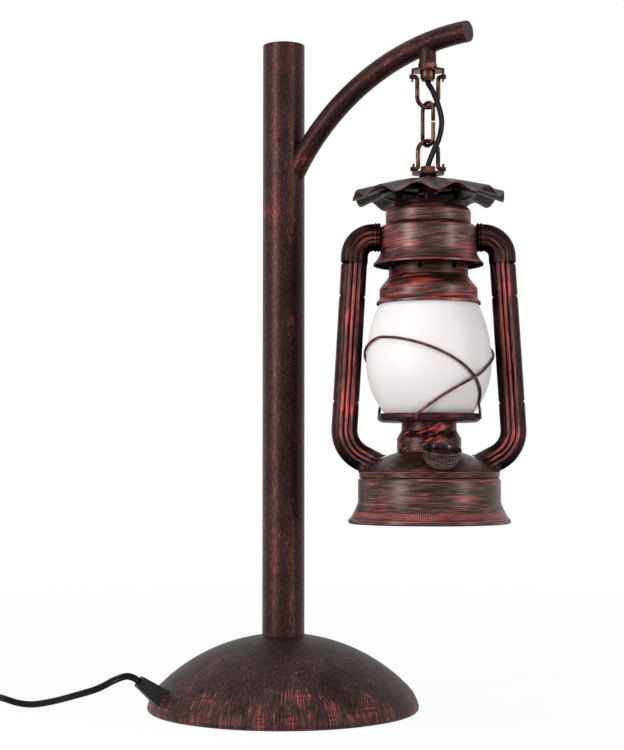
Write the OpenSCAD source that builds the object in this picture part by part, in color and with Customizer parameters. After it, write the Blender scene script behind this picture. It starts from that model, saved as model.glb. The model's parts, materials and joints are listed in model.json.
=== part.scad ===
// Table lamp with a hurricane lantern hung by a short chain from a bent arm.
// Millimetres. +Z is up, the origin is the middle of the base's underside.
// The lantern's two side tubes lie along X and its filler cap faces -Y.

/* [Base] */
// Diameter of the dome at its widest, before the rim is rounded
base_d = 206; // [192:1:216]
// Curve radius of the dome's crown
dome_r = 133; // [125:1:150]
// Height of the flat on the dome that carries the post
dome_top = 57; // [50:1:64]
// Radius of the rounding between crown and rim
dome_edge_r = 30; // [24:1:34]
// Sheet thickness of the dome
dome_wall = 1.5; // [1:0.1:2.5]
// Outer diameter of the ballast ring
weight_d = 134; // [90:1:140]
// Height of the ballast ring
weight_h = 24; // [10:1:26]

/* [Post and arm] */
// Diameter of the post
post_d = 32; // [26:0.5:40]
// Wall of the post
post_wall = 1.5; // [1:0.1:3]
// Height of the post's top above the table
post_top = 507; // [460:1:560]
// Diameter of the arm tube
arm_d = 15.6; // [14:0.1:18]
// Wall of the arm tube
arm_wall = 1.2; // [0.8:0.1:2]
// Bend radius of the arm
arm_r = 182.6; // [170:0.1:200]
// Reach of the arm's tip from the post axis
arm_reach = 160; // [150:1:180]
// Drop from the post's top to the middle of the arm's tip
arm_drop = 12.1; // [8:0.1:40]
// Angle by which the arm still rises at its tip
arm_rise = 2; // [0:0.5:6]
// Angle of the arm in front of the lantern's plane
arm_turn = 35; // [0:1:60]

/* [Chain] */
// Reach of the hanging axis from the post axis
hang_reach = 128; // [110:1:150]
// Wire of the two bails
bail_wire = 3.2; // [2.6:0.1:4]
// Half the distance between the legs of the upper bail
upper_bail_half = 7.6; // [7:0.1:10]
// Half the distance between the legs of the lower bail
lower_bail_half = 7.2; // [6.8:0.1:10]
// Length of the upper bail from its pins to its bend
upper_bail_len = 22.5; // [18:0.5:30]
// Length of the lower bail from its pins to its bend
lower_bail_len = 20.5; // [16:0.5:28]
// Wire of the middle link
link_wire = 3; // [2.4:0.1:3.6]
// Half the width of the middle link at the wire's middle
link_half = 6; // [5.4:0.1:8]
// Length of the middle link at the wire's middle
link_len = 31.3; // [24:0.1:40]
// Turn of the middle link about its own length
link_turn = 55; // [30:1:70]
// Free play of a pin in its hole, on the radius
pin_play = 0.3; // [0.2:0.05:0.5]
// Diameter of the lead along the chain and in the stand
lead_d = 4; // [3:0.1:4.4]

/* [Lantern] */
// Radius of the tank's bottom rim
tank_rim_r = 58; // [54:0.5:64]
// Radius of the tank's drum
tank_r = 51; // [48:0.5:54]
// Curve radius of the tank's top
tank_dome_r = 81; // [76:1:95]
// Radius of the burner
burner_r = 23; // [20:0.5:24]
// Radius of the plate under the globe
plate_r = 36.8; // [35:0.1:40]
// Largest radius of the glass globe
globe_r = 45; // [42:0.5:46]
// Thickness of the glass
globe_wall = 2.2; // [1.6:0.1:3]
// Radius of the chimney neck
neck_r = 28.6; // [26:0.1:30]
// Radius of the chimney's lower band
band_r = 35.3; // [34:0.1:37]
// Radius of the hood's lower drum
hood_r = 34.6; // [33:0.1:36]
// Radius of the hood's upper drum
hood_top_r = 30.7; // [29:0.1:32]
// Radius of the hood's lip
hood_lip_r = 39.6; // [38:0.1:42]
// Radius of the ruffled cap
cap_r = 54.6; // [50:0.1:60]
// Number of lobes on the ruffled cap
cap_lobes = 12; // [8:1:14]
// Half the height of a lobe at the rim
cap_wave = 3; // [1:0.1:4]
// Sheet thickness of the lantern
sheet = 0.9; // [0.7:0.05:1.2]
// Width of a side tube
tube_w = 18.8; // [16:0.1:20]
// Depth of a side tube
tube_t = 13; // [10:0.1:15]
// Wire of the globe guard
guard_wire = 2; // [1.6:0.1:2.4]

/* [Filler cap] */
// Distance of the filler from the lantern's axis
filler_r = 38; // [36:0.5:38.5]
// Turn of the filler from the front
filler_turn = 8; // [0:0.5:30]
// Lean of the filler from upright, less than the tank's own slope
filler_tilt = 18; // [14:0.5:24]
// Outer radius of the filler cap's rim
filler_cap_r = 13.8; // [13.4:0.1:14.4]
// Radius of the filler neck
filler_neck_r = 11; // [10:0.1:11.2]
// Play between cap and neck, on the radius
filler_play = 0.3; // [0.3:0.05:0.6]

/* [Mains cord] */
// Width of the mains cord
cord_d = 5; // [4:0.1:6]
// Gap between neighbouring turns of the coil
coil_gap = 0.6; // [0.5:0.05:1.5]
// Radius of the coil's outer turn
coil_r = 40; // [36:0.5:46]
// Turns in the coil
coil_turns = 8; // [6:2:10]
// Tilt of the rocker when it is off
rocker_tilt = 8; // [5:0.5:9]

/* [Hidden] */
$fn = 72;

black_brown = "#33282a";
red_brown = "#4a2426";
copper = "#8a5a45";
black = "#1c1c1e";

// Base: crown arc about the post axis, edge arc tangent to it inside.
seat_gap = 0.05;
crown_z = dome_top - sqrt(pow(dome_r, 2) - pow(post_d / 2 + 0.3, 2));
edge_x = base_d / 2 - dome_edge_r;
edge_z = crown_z + sqrt(pow(dome_r - dome_edge_r, 2) - pow(edge_x, 2));
edge_a = atan2(edge_z - crown_z, edge_x);
flat_a = acos((post_d / 2 + 0.3) / dome_r);
rim_r = 3;
rim_a = asin((rim_r + 1 - edge_z) / (dome_edge_r - rim_r));
rim_x = edge_x + (dome_edge_r - rim_r) * cos(rim_a);
rim_z = edge_z + (dome_edge_r - rim_r) * sin(rim_a);
stud_d = 10;
stud_bore = 6.4;
pad_h = 2.5;
plate_h = 1;
gland_a = 37;
gland_turn = 202;
gland_len = 20;
gland_hole = 9;
gland_r = edge_x + dome_edge_r * cos(gland_a);
gland_z = edge_z + dome_edge_r * sin(gland_a);
gland_at = [gland_r * cos(gland_turn), gland_r * sin(gland_turn), gland_z];
gland_dir = [cos(gland_a) * cos(gland_turn), cos(gland_a) * sin(gland_turn), sin(gland_a)];

// Arm: one arc in a vertical plane, its tip still rising a little.
arm_top = post_top - arm_drop;
arm_c = arm_reach + arm_r * sin(arm_rise);
arm_z = arm_top - arm_r * cos(arm_rise);
arm_post_a = acos((post_d / 2 - 3 - arm_d / 2 - arm_c) / arm_r);
arm_meet_a = acos((post_d / 2 - arm_c) / arm_r);
arm_meet_z = arm_z + arm_r * sin(arm_meet_a);
arm_lean = 180 - arm_meet_a;
lead_hole_r = lead_d / 2 + 1;
hang_a = acos((hang_reach - arm_c) / arm_r);
hang_x = hang_reach * cos(arm_turn);
hang_y = -hang_reach * sin(arm_turn);
boss_top = arm_z + arm_r * sin(hang_a);
boss_h = 7.6;
boss_bottom = boss_top - arm_d / 2 - boss_h;
pipe_d = 9.8;
hex_h = 4;
plate_t = 1.6;
hook_plate_z = boss_bottom - hex_h - plate_t;
bush_h = 6.8;
bush_z = hook_plate_z - bush_h;

// Chain: every height follows from the one above it.
upper_pin_z = hook_plate_z - 3.6;
upper_bend_z = upper_pin_z - upper_bail_len;
upper_arc_z = upper_bend_z + upper_bail_half;
link_top_z = upper_bend_z + (bail_wire + link_wire) / 2 + pin_play;
link_low_z = link_top_z - link_len;
lower_bend_z = link_low_z + (bail_wire + link_wire) / 2 + pin_play;
lower_arc_z = lower_bend_z - lower_bail_half;
lower_pin_z = lower_bend_z - lower_bail_len;
lower_plate_z = lower_pin_z - plate_t - 2.4;
lower_nut_h = 4;

// Lantern heights above its own underside.
lantern_h = 251.4;
lantern_z = lower_plate_z - lantern_h;
tank_top_z = 54.2;
tank_c = tank_top_z - tank_dome_r;
burner_z = tank_c + sqrt(pow(tank_dome_r, 2) - pow(burner_r - sheet, 2)) + seat_gap;
cap_mid_z = lantern_h - 3.2;
cap_drop = 13.2;
crown_r = 25;
crown_h = 15.2;
crown_brim_r = 33.4;
crown_brim_drop = 5.6;
hood_top = cap_mid_z - crown_h - 5.5;
hood_h = 42.2;
hood_z = hood_top - hood_h;
neck_z = hood_z - 7.8;
band_h = 20.5;
band_z = neck_z - band_h;
lantern_pipe_d = 7;
pipe_low = hood_top - 6.5;

// Globe: two arcs that meet at its widest, from the plate up into the chimney's band.
plate_z = 72.3;
globe_z0 = plate_z + sheet + seat_gap;
globe_z1 = band_z + 2.2;
globe_mid = globe_z0 + 0.486 * (globe_z1 - globe_z0);
globe_top_in = 10.3;
globe_foot_in = 18.6;
globe_up_r = (pow(globe_z1 - globe_mid, 2) / globe_top_in + globe_top_in) / 2;
globe_low_r = (pow(globe_mid - globe_z0, 2) / globe_foot_in + globe_foot_in) / 2;

// Lamp holder and bulb hang from the pipe in the hood.
holder_r = 14;
holder_h = 52;
holder_z = hood_top - 3.5 - holder_h;
bulb_r = 22.5;
bulb_z = holder_z - 31.5;
bulb_cap_r = 6.6;
bulb_cap_h = 23;

// Side tubes.
stub_z = hood_z + 20.3;
leg_top_x = 53.2;
leg_low_x = 60.6;
top_bend = 13.6;
low_bend = 22;
low_turn = 62;
leg_low_z = 68;

filler_z = tank_c + sqrt(pow(tank_dome_r, 2) - pow(filler_r, 2));
filler_lift = filler_cap_r * tan(asin(filler_r / tank_dome_r) - filler_tilt) - 0.2;

// Cord stations on the table, picked by eye past the left of the picture.
switch_at = [-262, 30];
switch_l = 58;
switch_w = 24;
switch_h = 17;
coil_at = [-292, 98];
plug_y = 126;
plug_l = 36;
plug_h = 13.7;
floor_gap = 0.1;

function arc_pts(cx, cz, r, a0, a1, n) =
    [for (i = [0 : n]) let (a = a0 + (a1 - a0) * i / n) [cx + r * cos(a), cz + r * sin(a)]];
function backwards(p) = [for (i = [len(p) - 1 : -1 : 0]) p[i]];
function unit(v) = v / norm(v);
function left_of(a, b) = let (d = unit(b - a)) [-d[1], d[0]];
function miter(p, i) =
    let (m = len(p) - 1)
    let (a = left_of(p[max(i - 1, 0)], p[max(i, 1)]))
    let (b = left_of(p[min(i, m - 1)], p[min(i + 1, m)]))
    (a + b) / (1 + a * b);
function beside(p, t) = [for (i = [0 : len(p) - 1]) p[i] + t * miter(p, i)];

// Sheet turned about Z: p runs upward along its outside, t is its thickness.
module spun(p, t) {
    rotate_extrude($fn = 96) polygon(concat(p, backwards(beside(p, t))));
}

function spline(p, n) =
    let (m = len(p) - 1)
    concat([for (i = [0 : m - 1], k = [0 : n - 1])
        let (t = k / n)
        let (a = i == 0 ? p[1] - p[0] : (p[i + 1] - p[i - 1]) / 2)
        let (b = i == m - 1 ? p[m] - p[m - 1] : (p[i + 2] - p[i]) / 2)
        (2 * pow(t, 3) - 3 * pow(t, 2) + 1) * p[i] + (pow(t, 3) - 2 * pow(t, 2) + t) * a
        + (3 * pow(t, 2) - 2 * pow(t, 3)) * p[i + 1] + (pow(t, 3) - pow(t, 2)) * b],
        [p[m]]);
function along(p, i) = unit(p[min(i + 1, len(p) - 1)] - p[max(i - 1, 0)]);
function length_of(p, i = 1) = i >= len(p) ? 0 : norm(p[i] - p[i - 1]) + length_of(p, i + 1);
function ring(c, t, up, r, n) =
    let (s = unit(cross(t, up)), v = cross(s, t))
    [for (j = [0 : n - 1]) c + r * (cos(360 * j / n) * s + sin(360 * j / n) * v)];
function skin(m, n, first = 0, flip = false) =
    [for (i = [0 : m - 2], j = [0 : n - 1], k = [0, 1])
        let (a = first + i * n + j, b = first + i * n + (j + 1) % n)
        let (f = k == 0 ? [a, b, b + n] : [a, b + n, a + n])
        flip ? backwards(f) : f];
function lid(n, first = 0, flip = false) =
    let (f = [for (j = [0 : n - 1]) first + j]) [flip ? backwards(f) : f];

// Round tube along path p. The vector up never lies along the path.
module tube(p, r, n, up) {
    m = len(p);
    pts = [for (i = [0 : m - 1]) each ring(p[i], along(p, i), up, r, n)];
    polyhedron(pts, concat(skin(m, n), lid(n, 0, true), lid(n, (m - 1) * n)));
}

// Base

function dome_profile() = concat(
    [[rim_x - 4, rim_z - rim_r]],
    arc_pts(rim_x, rim_z, rim_r, -90, rim_a, 6),
    arc_pts(edge_x, edge_z, dome_edge_r, rim_a + 4, edge_a, 8),
    arc_pts(0, crown_z, dome_r, edge_a + 3, flat_a, 14));

// Children stand on the dome where the cord leaves, their Z pointing out of it.
module at_gland() {
    translate(gland_at) rotate([0, 90 - gland_a, gland_turn]) children();
}

module base_dome() color(black_brown) difference() {
    spun(concat(dome_profile(), [[stud_d / 2 + 0.1, dome_top]]), dome_wall);
    at_gland() translate([0, 0, -9]) cylinder(d = gland_hole, h = 18);
}

module base_pad() color(black) cylinder(r = rim_x - 4.4, h = pad_h);

module base_plate() color(black) translate([0, 0, pad_h])
    cylinder(r = rim_x - 0.6, h = plate_h);

module base_weight() color("#3c3c3e") translate([0, 0, pad_h + plate_h]) difference() {
    cylinder(d = weight_d, h = weight_h);
    translate([0, 0, -1]) cylinder(r = 24, h = weight_h + 2);
}

module base_stud() color("#9a958c") translate([0, 0, dome_top - 13]) difference() {
    cylinder(d = stud_d, h = 22);
    translate([0, 0, -1]) cylinder(d = stud_bore, h = 24);
}

module base_washer() color("#9a958c") translate([0, 0, dome_top - dome_wall - 2]) difference() {
    cylinder(r = 12, h = 2 - seat_gap);
    translate([0, 0, -1]) cylinder(d = stud_d + 0.1, h = 4);
}

module base_nut() color("#9a958c") translate([0, 0, dome_top - dome_wall - 8]) difference() {
    cylinder(r = 9.8, h = 6 - seat_gap, $fn = 6);
    translate([0, 0, -1]) cylinder(d = stud_d + 0.1, h = 8);
}

// Post and arm

module post_tube() color(red_brown) difference() {
    translate([0, 0, dome_top]) cylinder(d = post_d, h = post_top - dome_top);
    translate([0, 0, dome_top - 1]) cylinder(d = post_d - 2 * post_wall, h = post_top);
    in_arm_plane() translate([post_d / 2, 0, arm_meet_z])
        rotate([0, arm_lean, 0]) translate([0, 0, -post_d * 0.6])
            cylinder(d = arm_d - 2 * arm_wall - 1, h = post_d);
}

module in_arm_plane() {
    rotate([0, 0, -arm_turn]) children();
}

module post_cap() color(red_brown) translate([0, 0, post_top - 3])
    cylinder(d = post_d - 2 * post_wall - 0.1, h = 3);

module post_foot() color("#9a958c") translate([0, 0, dome_top + seat_gap]) difference() {
    cylinder(d = post_d - 2 * post_wall - 0.1, h = 9);
    translate([0, 0, -1]) cylinder(d = stud_d + 0.1, h = 11);
}

module arm_solid(r) {
    in_arm_plane() translate([arm_c, 0, arm_z]) rotate([90, 0, 0]) rotate([0, 0, 90 + arm_rise])
        rotate_extrude(angle = arm_post_a - 90 - arm_rise, $fn = 180) translate([arm_r, 0])
            circle(r = r, $fn = 48);
}

module arm_tube() color(red_brown) difference() {
    in_arm_plane() translate([arm_c, 0, arm_z]) rotate([90, 0, 0]) rotate([0, 0, 90 + arm_rise])
        rotate_extrude(angle = arm_post_a - 90 - arm_rise, $fn = 180) translate([arm_r, 0]) difference() {
            circle(d = arm_d, $fn = 48);
            circle(r = arm_d / 2 - arm_wall, $fn = 48);
        }
    cylinder(r = post_d / 2 + 0.02, h = post_top);
    translate([hang_x, hang_y, boss_bottom]) cylinder(r = lead_hole_r, h = boss_h + arm_d / 2 - 1);
}

module arm_end_cap() color(red_brown) in_arm_plane() translate([arm_reach, 0, arm_top])
    rotate([0, 90 - arm_rise, 0]) {
        translate([0, 0, seat_gap]) cylinder(d = arm_d - 0.6, h = 1.6);
        translate([0, 0, -4]) cylinder(r = arm_d / 2 - arm_wall - 0.12, h = 4.4);
    }

// Hanger under the arm

module at_hang(z) {
    translate([hang_x, hang_y, z]) children();
}

module arm_boss() color(red_brown) difference() {
    at_hang(boss_bottom) cylinder(d = 12.5, h = arm_d / 2 + boss_h - 0.2);
    arm_solid(arm_d / 2 + 0.02);
    at_hang(boss_bottom - 1) cylinder(d = pipe_d + 0.1, h = 4);
    at_hang(boss_bottom) cylinder(r = lead_hole_r, h = arm_d / 2 + boss_h);
}

module hanger_pipe() color(copper) at_hang(bush_z + 1.9) difference() {
    cylinder(d = pipe_d, h = boss_bottom - bush_z + 1);
    translate([0, 0, -1]) cylinder(d = lead_d + 1.4, h = boss_bottom - bush_z + 4);
}

module hanger_nut() color(copper) at_hang(boss_bottom - hex_h) difference() {
    rotate([0, 0, 20]) cylinder(r = 7.6, h = hex_h - seat_gap, $fn = 6);
    translate([0, 0, -1]) cylinder(d = pipe_d + 0.1, h = hex_h + 2);
}

// Plate with two ears that hold the pins of a bail; the ears point down.
module hook_plate(half, bore, pin_z) {
    ear_x = half + 2.8;
    e = ear_x + 1.4;
    difference() {
        union() {
            linear_extrude(plate_t) polygon([[e, 4], [e - 4, 7.5], [4 - e, 7.5], [-e, 4],
                [-e, -4], [4 - e, -7.5], [e - 4, -7.5], [e, -4]]);
            for (s = [-1, 1]) translate([s * (ear_x + 0.7) - 0.7, -4, pin_z - 3.2])
                cube([1.4, 8, 3.2 - pin_z + plate_t / 2]);
        }
        translate([0, 0, -1]) cylinder(d = bore, h = plate_t + 2);
        for (s = [0, 180]) rotate([0, 0, s]) translate([half, 0, pin_z]) rotate([0, 90, 0])
            cylinder(r = bail_wire / 2 + pin_play, h = 8);
    }
}

module hanger_plate() color(copper) at_hang(hook_plate_z)
    hook_plate(upper_bail_half, pipe_d + 0.1, upper_pin_z - hook_plate_z);

module hanger_bush() color(black) at_hang(bush_z) rotate_extrude() polygon([
    [lead_d / 2 + 0.3, 0], [4.2, 0], [5.5, 2.4], [5.5, bush_h - seat_gap],
    [pipe_d / 2 + 0.05, bush_h - seat_gap], [pipe_d / 2 + 0.05, 1.8], [lead_d / 2 + 0.3, 1.8]]);

// Bent wire with two pins that point outward; the bend hangs down.
module bail(half, len) {
    b = 2.4;
    r = bail_wire / 2;
    translate([0, 0, half - len]) rotate([90, 0, 0]) rotate([0, 0, 180])
        rotate_extrude(angle = 180) translate([half, 0]) circle(r = r, $fn = 24);
    for (s = [0, 1]) mirror([s, 0, 0]) {
        translate([half, 0, half - len]) cylinder(r = r, h = len - half - b, $fn = 24);
        translate([half + b, 0, -b]) rotate([90, 0, 0]) rotate([0, 0, 90])
            rotate_extrude(angle = 90) translate([b, 0]) circle(r = r, $fn = 24);
        translate([half + b, 0, 0]) rotate([0, 90, 0]) cylinder(r = r, h = 3.2, $fn = 24);
    }
}

module upper_bail() color(copper) at_hang(upper_pin_z) bail(upper_bail_half, upper_bail_len);

module lower_bail() color(copper) at_hang(lower_pin_z) rotate([180, 0, 0])
    bail(lower_bail_half, lower_bail_len);

module chain_link() color(copper) at_hang((link_top_z + link_low_z) / 2)
    rotate([0, 0, -link_turn]) {
        h = link_len / 2 - link_half;
        r = link_wire / 2;
        for (s = [0, 180]) rotate([0, s, 0]) translate([0, 0, h]) rotate([90, 0, 0])
            rotate_extrude(angle = 180) translate([link_half, 0]) circle(r = r, $fn = 24);
        translate([-link_half, 0, -h]) cylinder(r = r, h = 2 * h, $fn = 24);
        translate([link_half, 0, -h]) cylinder(r = r, h = h + 0.4, $fn = 24);
        translate([link_half, 0, 1.6]) cylinder(r = r, h = h - 1.6, $fn = 24);
    }

module lower_plate() color(copper) at_hang(lower_plate_z + plate_t) rotate([180, 0, 0])
    hook_plate(lower_bail_half, lantern_pipe_d + 0.1, lower_plate_z + plate_t - lower_pin_z);

module lower_nut() color(copper) at_hang(lower_plate_z + plate_t + seat_gap) difference() {
    rotate([0, 0, 15]) cylinder(r = 5.7, h = lower_nut_h, $fn = 6);
    translate([0, 0, -1]) cylinder(d = lantern_pipe_d + 0.1, h = lower_nut_h + 2);
}

// Leads

// Point in the arm's plane, u along the arm and z up.
function arm_pt(u, z) = [u * cos(arm_turn), -u * sin(arm_turn), z];
function arm_mid(a) = arm_pt(arm_c + arm_r * cos(a), arm_z + arm_r * sin(a));
function base_pt(r, z) = [r * cos(gland_turn), r * sin(gland_turn), z];

inner_path = concat(
    [gland_at + 7.9 * gland_dir, gland_at - 2 * gland_dir, gland_at - 8 * gland_dir],
    spline([gland_at - 12 * gland_dir, base_pt(gland_r - 17, gland_z - 6),
        base_pt(gland_r - 23, gland_z + 2), base_pt(weight_d / 2 + 2, weight_h + 7),
        base_pt(weight_d / 2 - 9, weight_h + 10), base_pt(40, weight_h + 10),
        base_pt(18, weight_h + 9), base_pt(6, weight_h + 9.5), [0, 0, dome_top - 14]], 3),
    [[0, 0, dome_top], arm_pt(0, arm_meet_z - 28)],
    spline([arm_pt(1.2, arm_meet_z - 21), arm_pt(post_d / 6, arm_meet_z - 13),
        arm_pt(post_d / 3, arm_meet_z - 6.5), arm_mid(arm_meet_a - 1)], 2),
    [for (k = [1 : 5]) arm_mid(arm_meet_a - 1 - (arm_meet_a - hang_a - 3.4) * k / 5)],
    [arm_pt(hang_reach - 2.2, boss_top - 2.2), arm_pt(hang_reach - 0.4, boss_top - 5.4),
        [hang_x, hang_y, boss_bottom + 2], [hang_x, hang_y, bush_z + 0.5]]);

module inner_lead() color(black) tube(inner_path, lead_d / 2, 8, [0, 1, 0]);

hang = [hang_x, hang_y, 0];
lead_low = lantern_z + pipe_low;
lead_path = concat([hang + [0, 0, bush_z + 0.2], hang + [0, 0, bush_z - 0.4]],
    spline([hang + [0.3, -0.2, bush_z - 1.8], hang + [3.6, -3.2, upper_arc_z + 3],
        hang + [7.2, -5.6, upper_bend_z], hang + [9.3, -6.6, upper_bend_z - 10],
        hang + [8.9, -6.6, lower_bend_z + 7], hang + [7.2, -6, lower_bend_z],
        hang + [4.4, -4.6, lower_arc_z + 1], hang + [1.5, -2, lower_pin_z + 7],
        hang + [0, 0, lower_plate_z + plate_t + lower_nut_h + 1]], 3),
    [hang + [0, 0, lower_plate_z], hang + [0, 0, lead_low + 1]]);

module chain_lead() color(black) tube(lead_path, lead_d / 2, 10, [0, 1, 0]);

// Lantern

module in_lantern() {
    translate([hang_x, hang_y, lantern_z]) children();
}

module lantern_pipe() color(copper) in_lantern() translate([0, 0, pipe_low]) difference() {
    cylinder(d = lantern_pipe_d, h = lantern_h + plate_t + lower_nut_h - pipe_low);
    translate([0, 0, -1]) cylinder(d = lead_d + 0.7, h = lantern_h);
}

module cap_collar() color(black_brown) in_lantern() translate([0, 0, cap_mid_z + seat_gap])
    difference() {
        cylinder(d1 = 15, d2 = 11, h = lantern_h - cap_mid_z - 2 * seat_gap);
        translate([0, 0, -1]) cylinder(d = lantern_pipe_d + 0.1, h = 6);
    }

cap_flat = 9;
cap_plain = 22;
cap_low_at = -88.2;
function cap_top(r, a) =
    cap_mid_z - cap_drop * pow(max(0, (r - cap_flat) / (cap_r - cap_flat)), 1.1)
    - cap_wave * pow(max(0, (r - cap_plain) / (cap_r - cap_plain)), 1.2)
    * cos(cap_lobes * (a - cap_low_at));
cap_rings = [for (k = [0 : 7]) k == 0 ? lantern_pipe_d / 2 + 0.1
    : cap_flat + (cap_r - cap_flat) * pow((k - 1) / 6, 0.9)];

module ruffled_cap() color(black_brown) in_lantern() {
    n = cap_lobes * 8;
    loop = concat([for (r = cap_rings) [r, 0]], [for (r = backwards(cap_rings)) [r, sheet]]);
    m = len(loop);
    pts = [for (q = loop, j = [0 : n - 1]) let (a = 360 * j / n)
        [q[0] * cos(a), q[0] * sin(a), cap_top(q[0], a) - q[1]]];
    polyhedron(pts, [for (i = [0 : m - 1], j = [0 : n - 1], k = [0, 1])
        let (a = i * n + j, b = i * n + (j + 1) % n)
        let (c = ((i + 1) % m) * n + (j + 1) % n, d = ((i + 1) % m) * n + j)
        k == 0 ? [a, b, c] : [a, c, d]]);
}

module crown() color(black_brown) in_lantern() {
    crown_ring();
    spun([[crown_brim_r, crown_top - crown_brim_drop - 0.8], [crown_brim_r, crown_top - crown_brim_drop],
        [crown_r - 0.4, crown_top - 0.2]], sheet);
}

crown_top = hood_top + crown_h;

module crown_ring() difference() {
    translate([0, 0, hood_top + seat_gap]) difference() {
        cylinder(r = crown_r, h = crown_h - seat_gap);
        translate([0, 0, -1]) cylinder(r = crown_r - sheet, h = crown_h - seat_gap - sheet + 1);
    }
    cylinder(d = lantern_pipe_d + 0.1, h = lantern_h);
    for (k = [0 : 5]) rotate([0, 0, -60 + 60 * k]) translate([crown_r / 2, -10, hood_top + 3])
        cube([20, 20, crown_h - 6]);
}

module crown_nut() color(copper) in_lantern()
    translate([0, 0, crown_top - sheet - 4.2]) difference() {
        cylinder(r = 6.9, h = 4.15, $fn = 6);
        translate([0, 0, -1]) cylinder(d = lantern_pipe_d + 0.1, h = 7);
    }

module hood() color(black_brown) in_lantern() spun(concat(
    [[hood_lip_r, hood_z], [hood_lip_r, hood_z + 1.3], [hood_lip_r - 1.5, hood_z + 2.9],
        [hood_r + 1.8, hood_z + 5.3], [hood_r + 0.6, hood_z + 7.7], [hood_r, hood_z + 9.8],
        [hood_r, hood_z + 26.5], [hood_r - 0.9, hood_z + 28], [hood_top_r + 0.7, hood_z + 28.9],
        [hood_top_r, hood_z + 30]],
    arc_pts(hood_top_r - 5.2, hood_top - 5.2, 5.2, 0, 90, 8),
    [[21.5, hood_top]]), sheet);

module chimney() color(black_brown) in_lantern() difference() {
    spun([[band_r + 2.2, band_z], [band_r + 2.2, band_z + 1.6], [band_r + 0.5, band_z + 3.4],
        [band_r, band_z + 4.6], [band_r, band_z + 11], [band_r - 1.2, band_z + 13],
        [band_r - 3.4, band_z + 15.6], [neck_r + 0.9, neck_z - 1.9], [neck_r, neck_z],
        [neck_r, hood_z + 14.7], [hood_r - sheet - 0.2, hood_z + 14.7]], sheet);
    for (k = [0 : 6]) rotate([0, 0, -106.5 + k * 360 / 7])
        translate([neck_r - 6, 0, neck_z + 5.5]) rotate([0, 90, 0])
            cylinder(d = 4.5, h = 12, $fn = 24);
}

// Side tubes: stations [x, z, outward normal], from the hood to the tank.

lean = atan((leg_low_x - leg_top_x) / (stub_z - top_bend - leg_low_z));
leg_start = [leg_top_x - top_bend + top_bend * cos(lean), stub_z - top_bend * (1 - sin(lean))];
low_c = [leg_low_x - low_bend * cos(lean), leg_low_z - low_bend * sin(lean)];
stations = concat(
    [[hood_r + 2, stub_z, 0, 1]],
    [for (k = [0 : 6]) let (f = (90 - lean) * k / 6)
        [leg_top_x - top_bend + top_bend * sin(f), stub_z - top_bend * (1 - cos(f)),
            sin(f), cos(f)]],
    [for (k = [1 : 3]) let (c = leg_start + ([leg_low_x, leg_low_z] - leg_start) * k / 4)
        [c[0], c[1], cos(lean), sin(lean)]],
    [for (k = [0 : 7]) let (f = -lean + (low_turn + lean) * k / 7)
        [low_c[0] + low_bend * cos(f), low_c[1] - low_bend * sin(f), cos(f), -sin(f)]]);

// Pressed section: rounded box with two grooves on its front and two on its back.
function section(w, t, groove) = [for (k = [0 : 31])
    let (x = cos(11.25 * k), y = pow(1 - pow(abs(x), 3), 0.4))
    let (g = (k % 16 == 6 || k % 16 == 10) ? groove : 0)
    [w / 2 * x, (k < 16 ? 1 : -1) * (t / 2 * y - g)]];
function at_station(s, q) = [s[0] + q[0] * s[2], q[1], s[1] + q[0] * s[3]];
function onto_hood(p) = [sqrt(pow(hood_r + seat_gap, 2) - pow(p[1], 2)), p[1], p[2]];
function onto_tank(p, d) =
    let (c = p - [0, 0, tank_c], b = c * d)
    p + d * (-b - sqrt(max(0, b * b - c * c + pow(tank_dome_r + seat_gap, 2))));
tube_end = [-sin(low_turn), 0, -cos(low_turn)];
function tube_points(sec) = concat(
    [for (q = sec) onto_hood(at_station(stations[0], q))],
    [for (s = stations, q = sec) at_station(s, q)],
    [for (q = sec) onto_tank(at_station(stations[len(stations) - 1], q), tube_end)]);

module side_tube() {
    n = 32;
    m = len(stations) + 2;
    outer = tube_points(section(tube_w, tube_t, 0.9));
    inner = tube_points(section(tube_w - 2.2, tube_t - 3.8, 0));
    k = m * n;
    ends = [for (e = [0, (m - 1) * n], j = [0 : n - 1], h = [0, 1])
        let (a = e + j, b = e + (j + 1) % n)
        let (f = h == 0 ? [a, b, b + k] : [a, b + k, a + k])
        e == 0 ? backwards(f) : f];
    polyhedron(concat(outer, inner),
        concat(skin(m, n, 0), skin(m, n, k, true), ends));
}

module side_tube_right() color(black_brown) in_lantern() side_tube();

module side_tube_left() color(black_brown) in_lantern() rotate([0, 0, 180]) side_tube();

// Globe, its plate and its guard

function globe_at(z) = z > globe_mid
    ? globe_r - globe_up_r + sqrt(pow(globe_up_r, 2) - pow(z - globe_mid, 2))
    : globe_r - globe_low_r + sqrt(pow(globe_low_r, 2) - pow(z - globe_mid, 2));

module globe() color("#e8e4e2") in_lantern() spun(
    [for (k = [0 : 20]) let (z = globe_z0 + (globe_z1 - globe_z0) * k / 20) [globe_at(z), z]],
    globe_wall);

module globe_plate() color(black_brown) in_lantern() difference() {
    spun([[12, plate_z], [plate_r - 3, plate_z], [plate_r - 0.9, plate_z + 0.9],
        [plate_r, plate_z + 3], [plate_r, plate_z + 6.2]], sheet);
    for (k = [0 : 9]) rotate([0, 0, 36 * k]) translate([26, 0, plate_z - 1])
        cylinder(d = 4, h = 4, $fn = 24);
}

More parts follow.
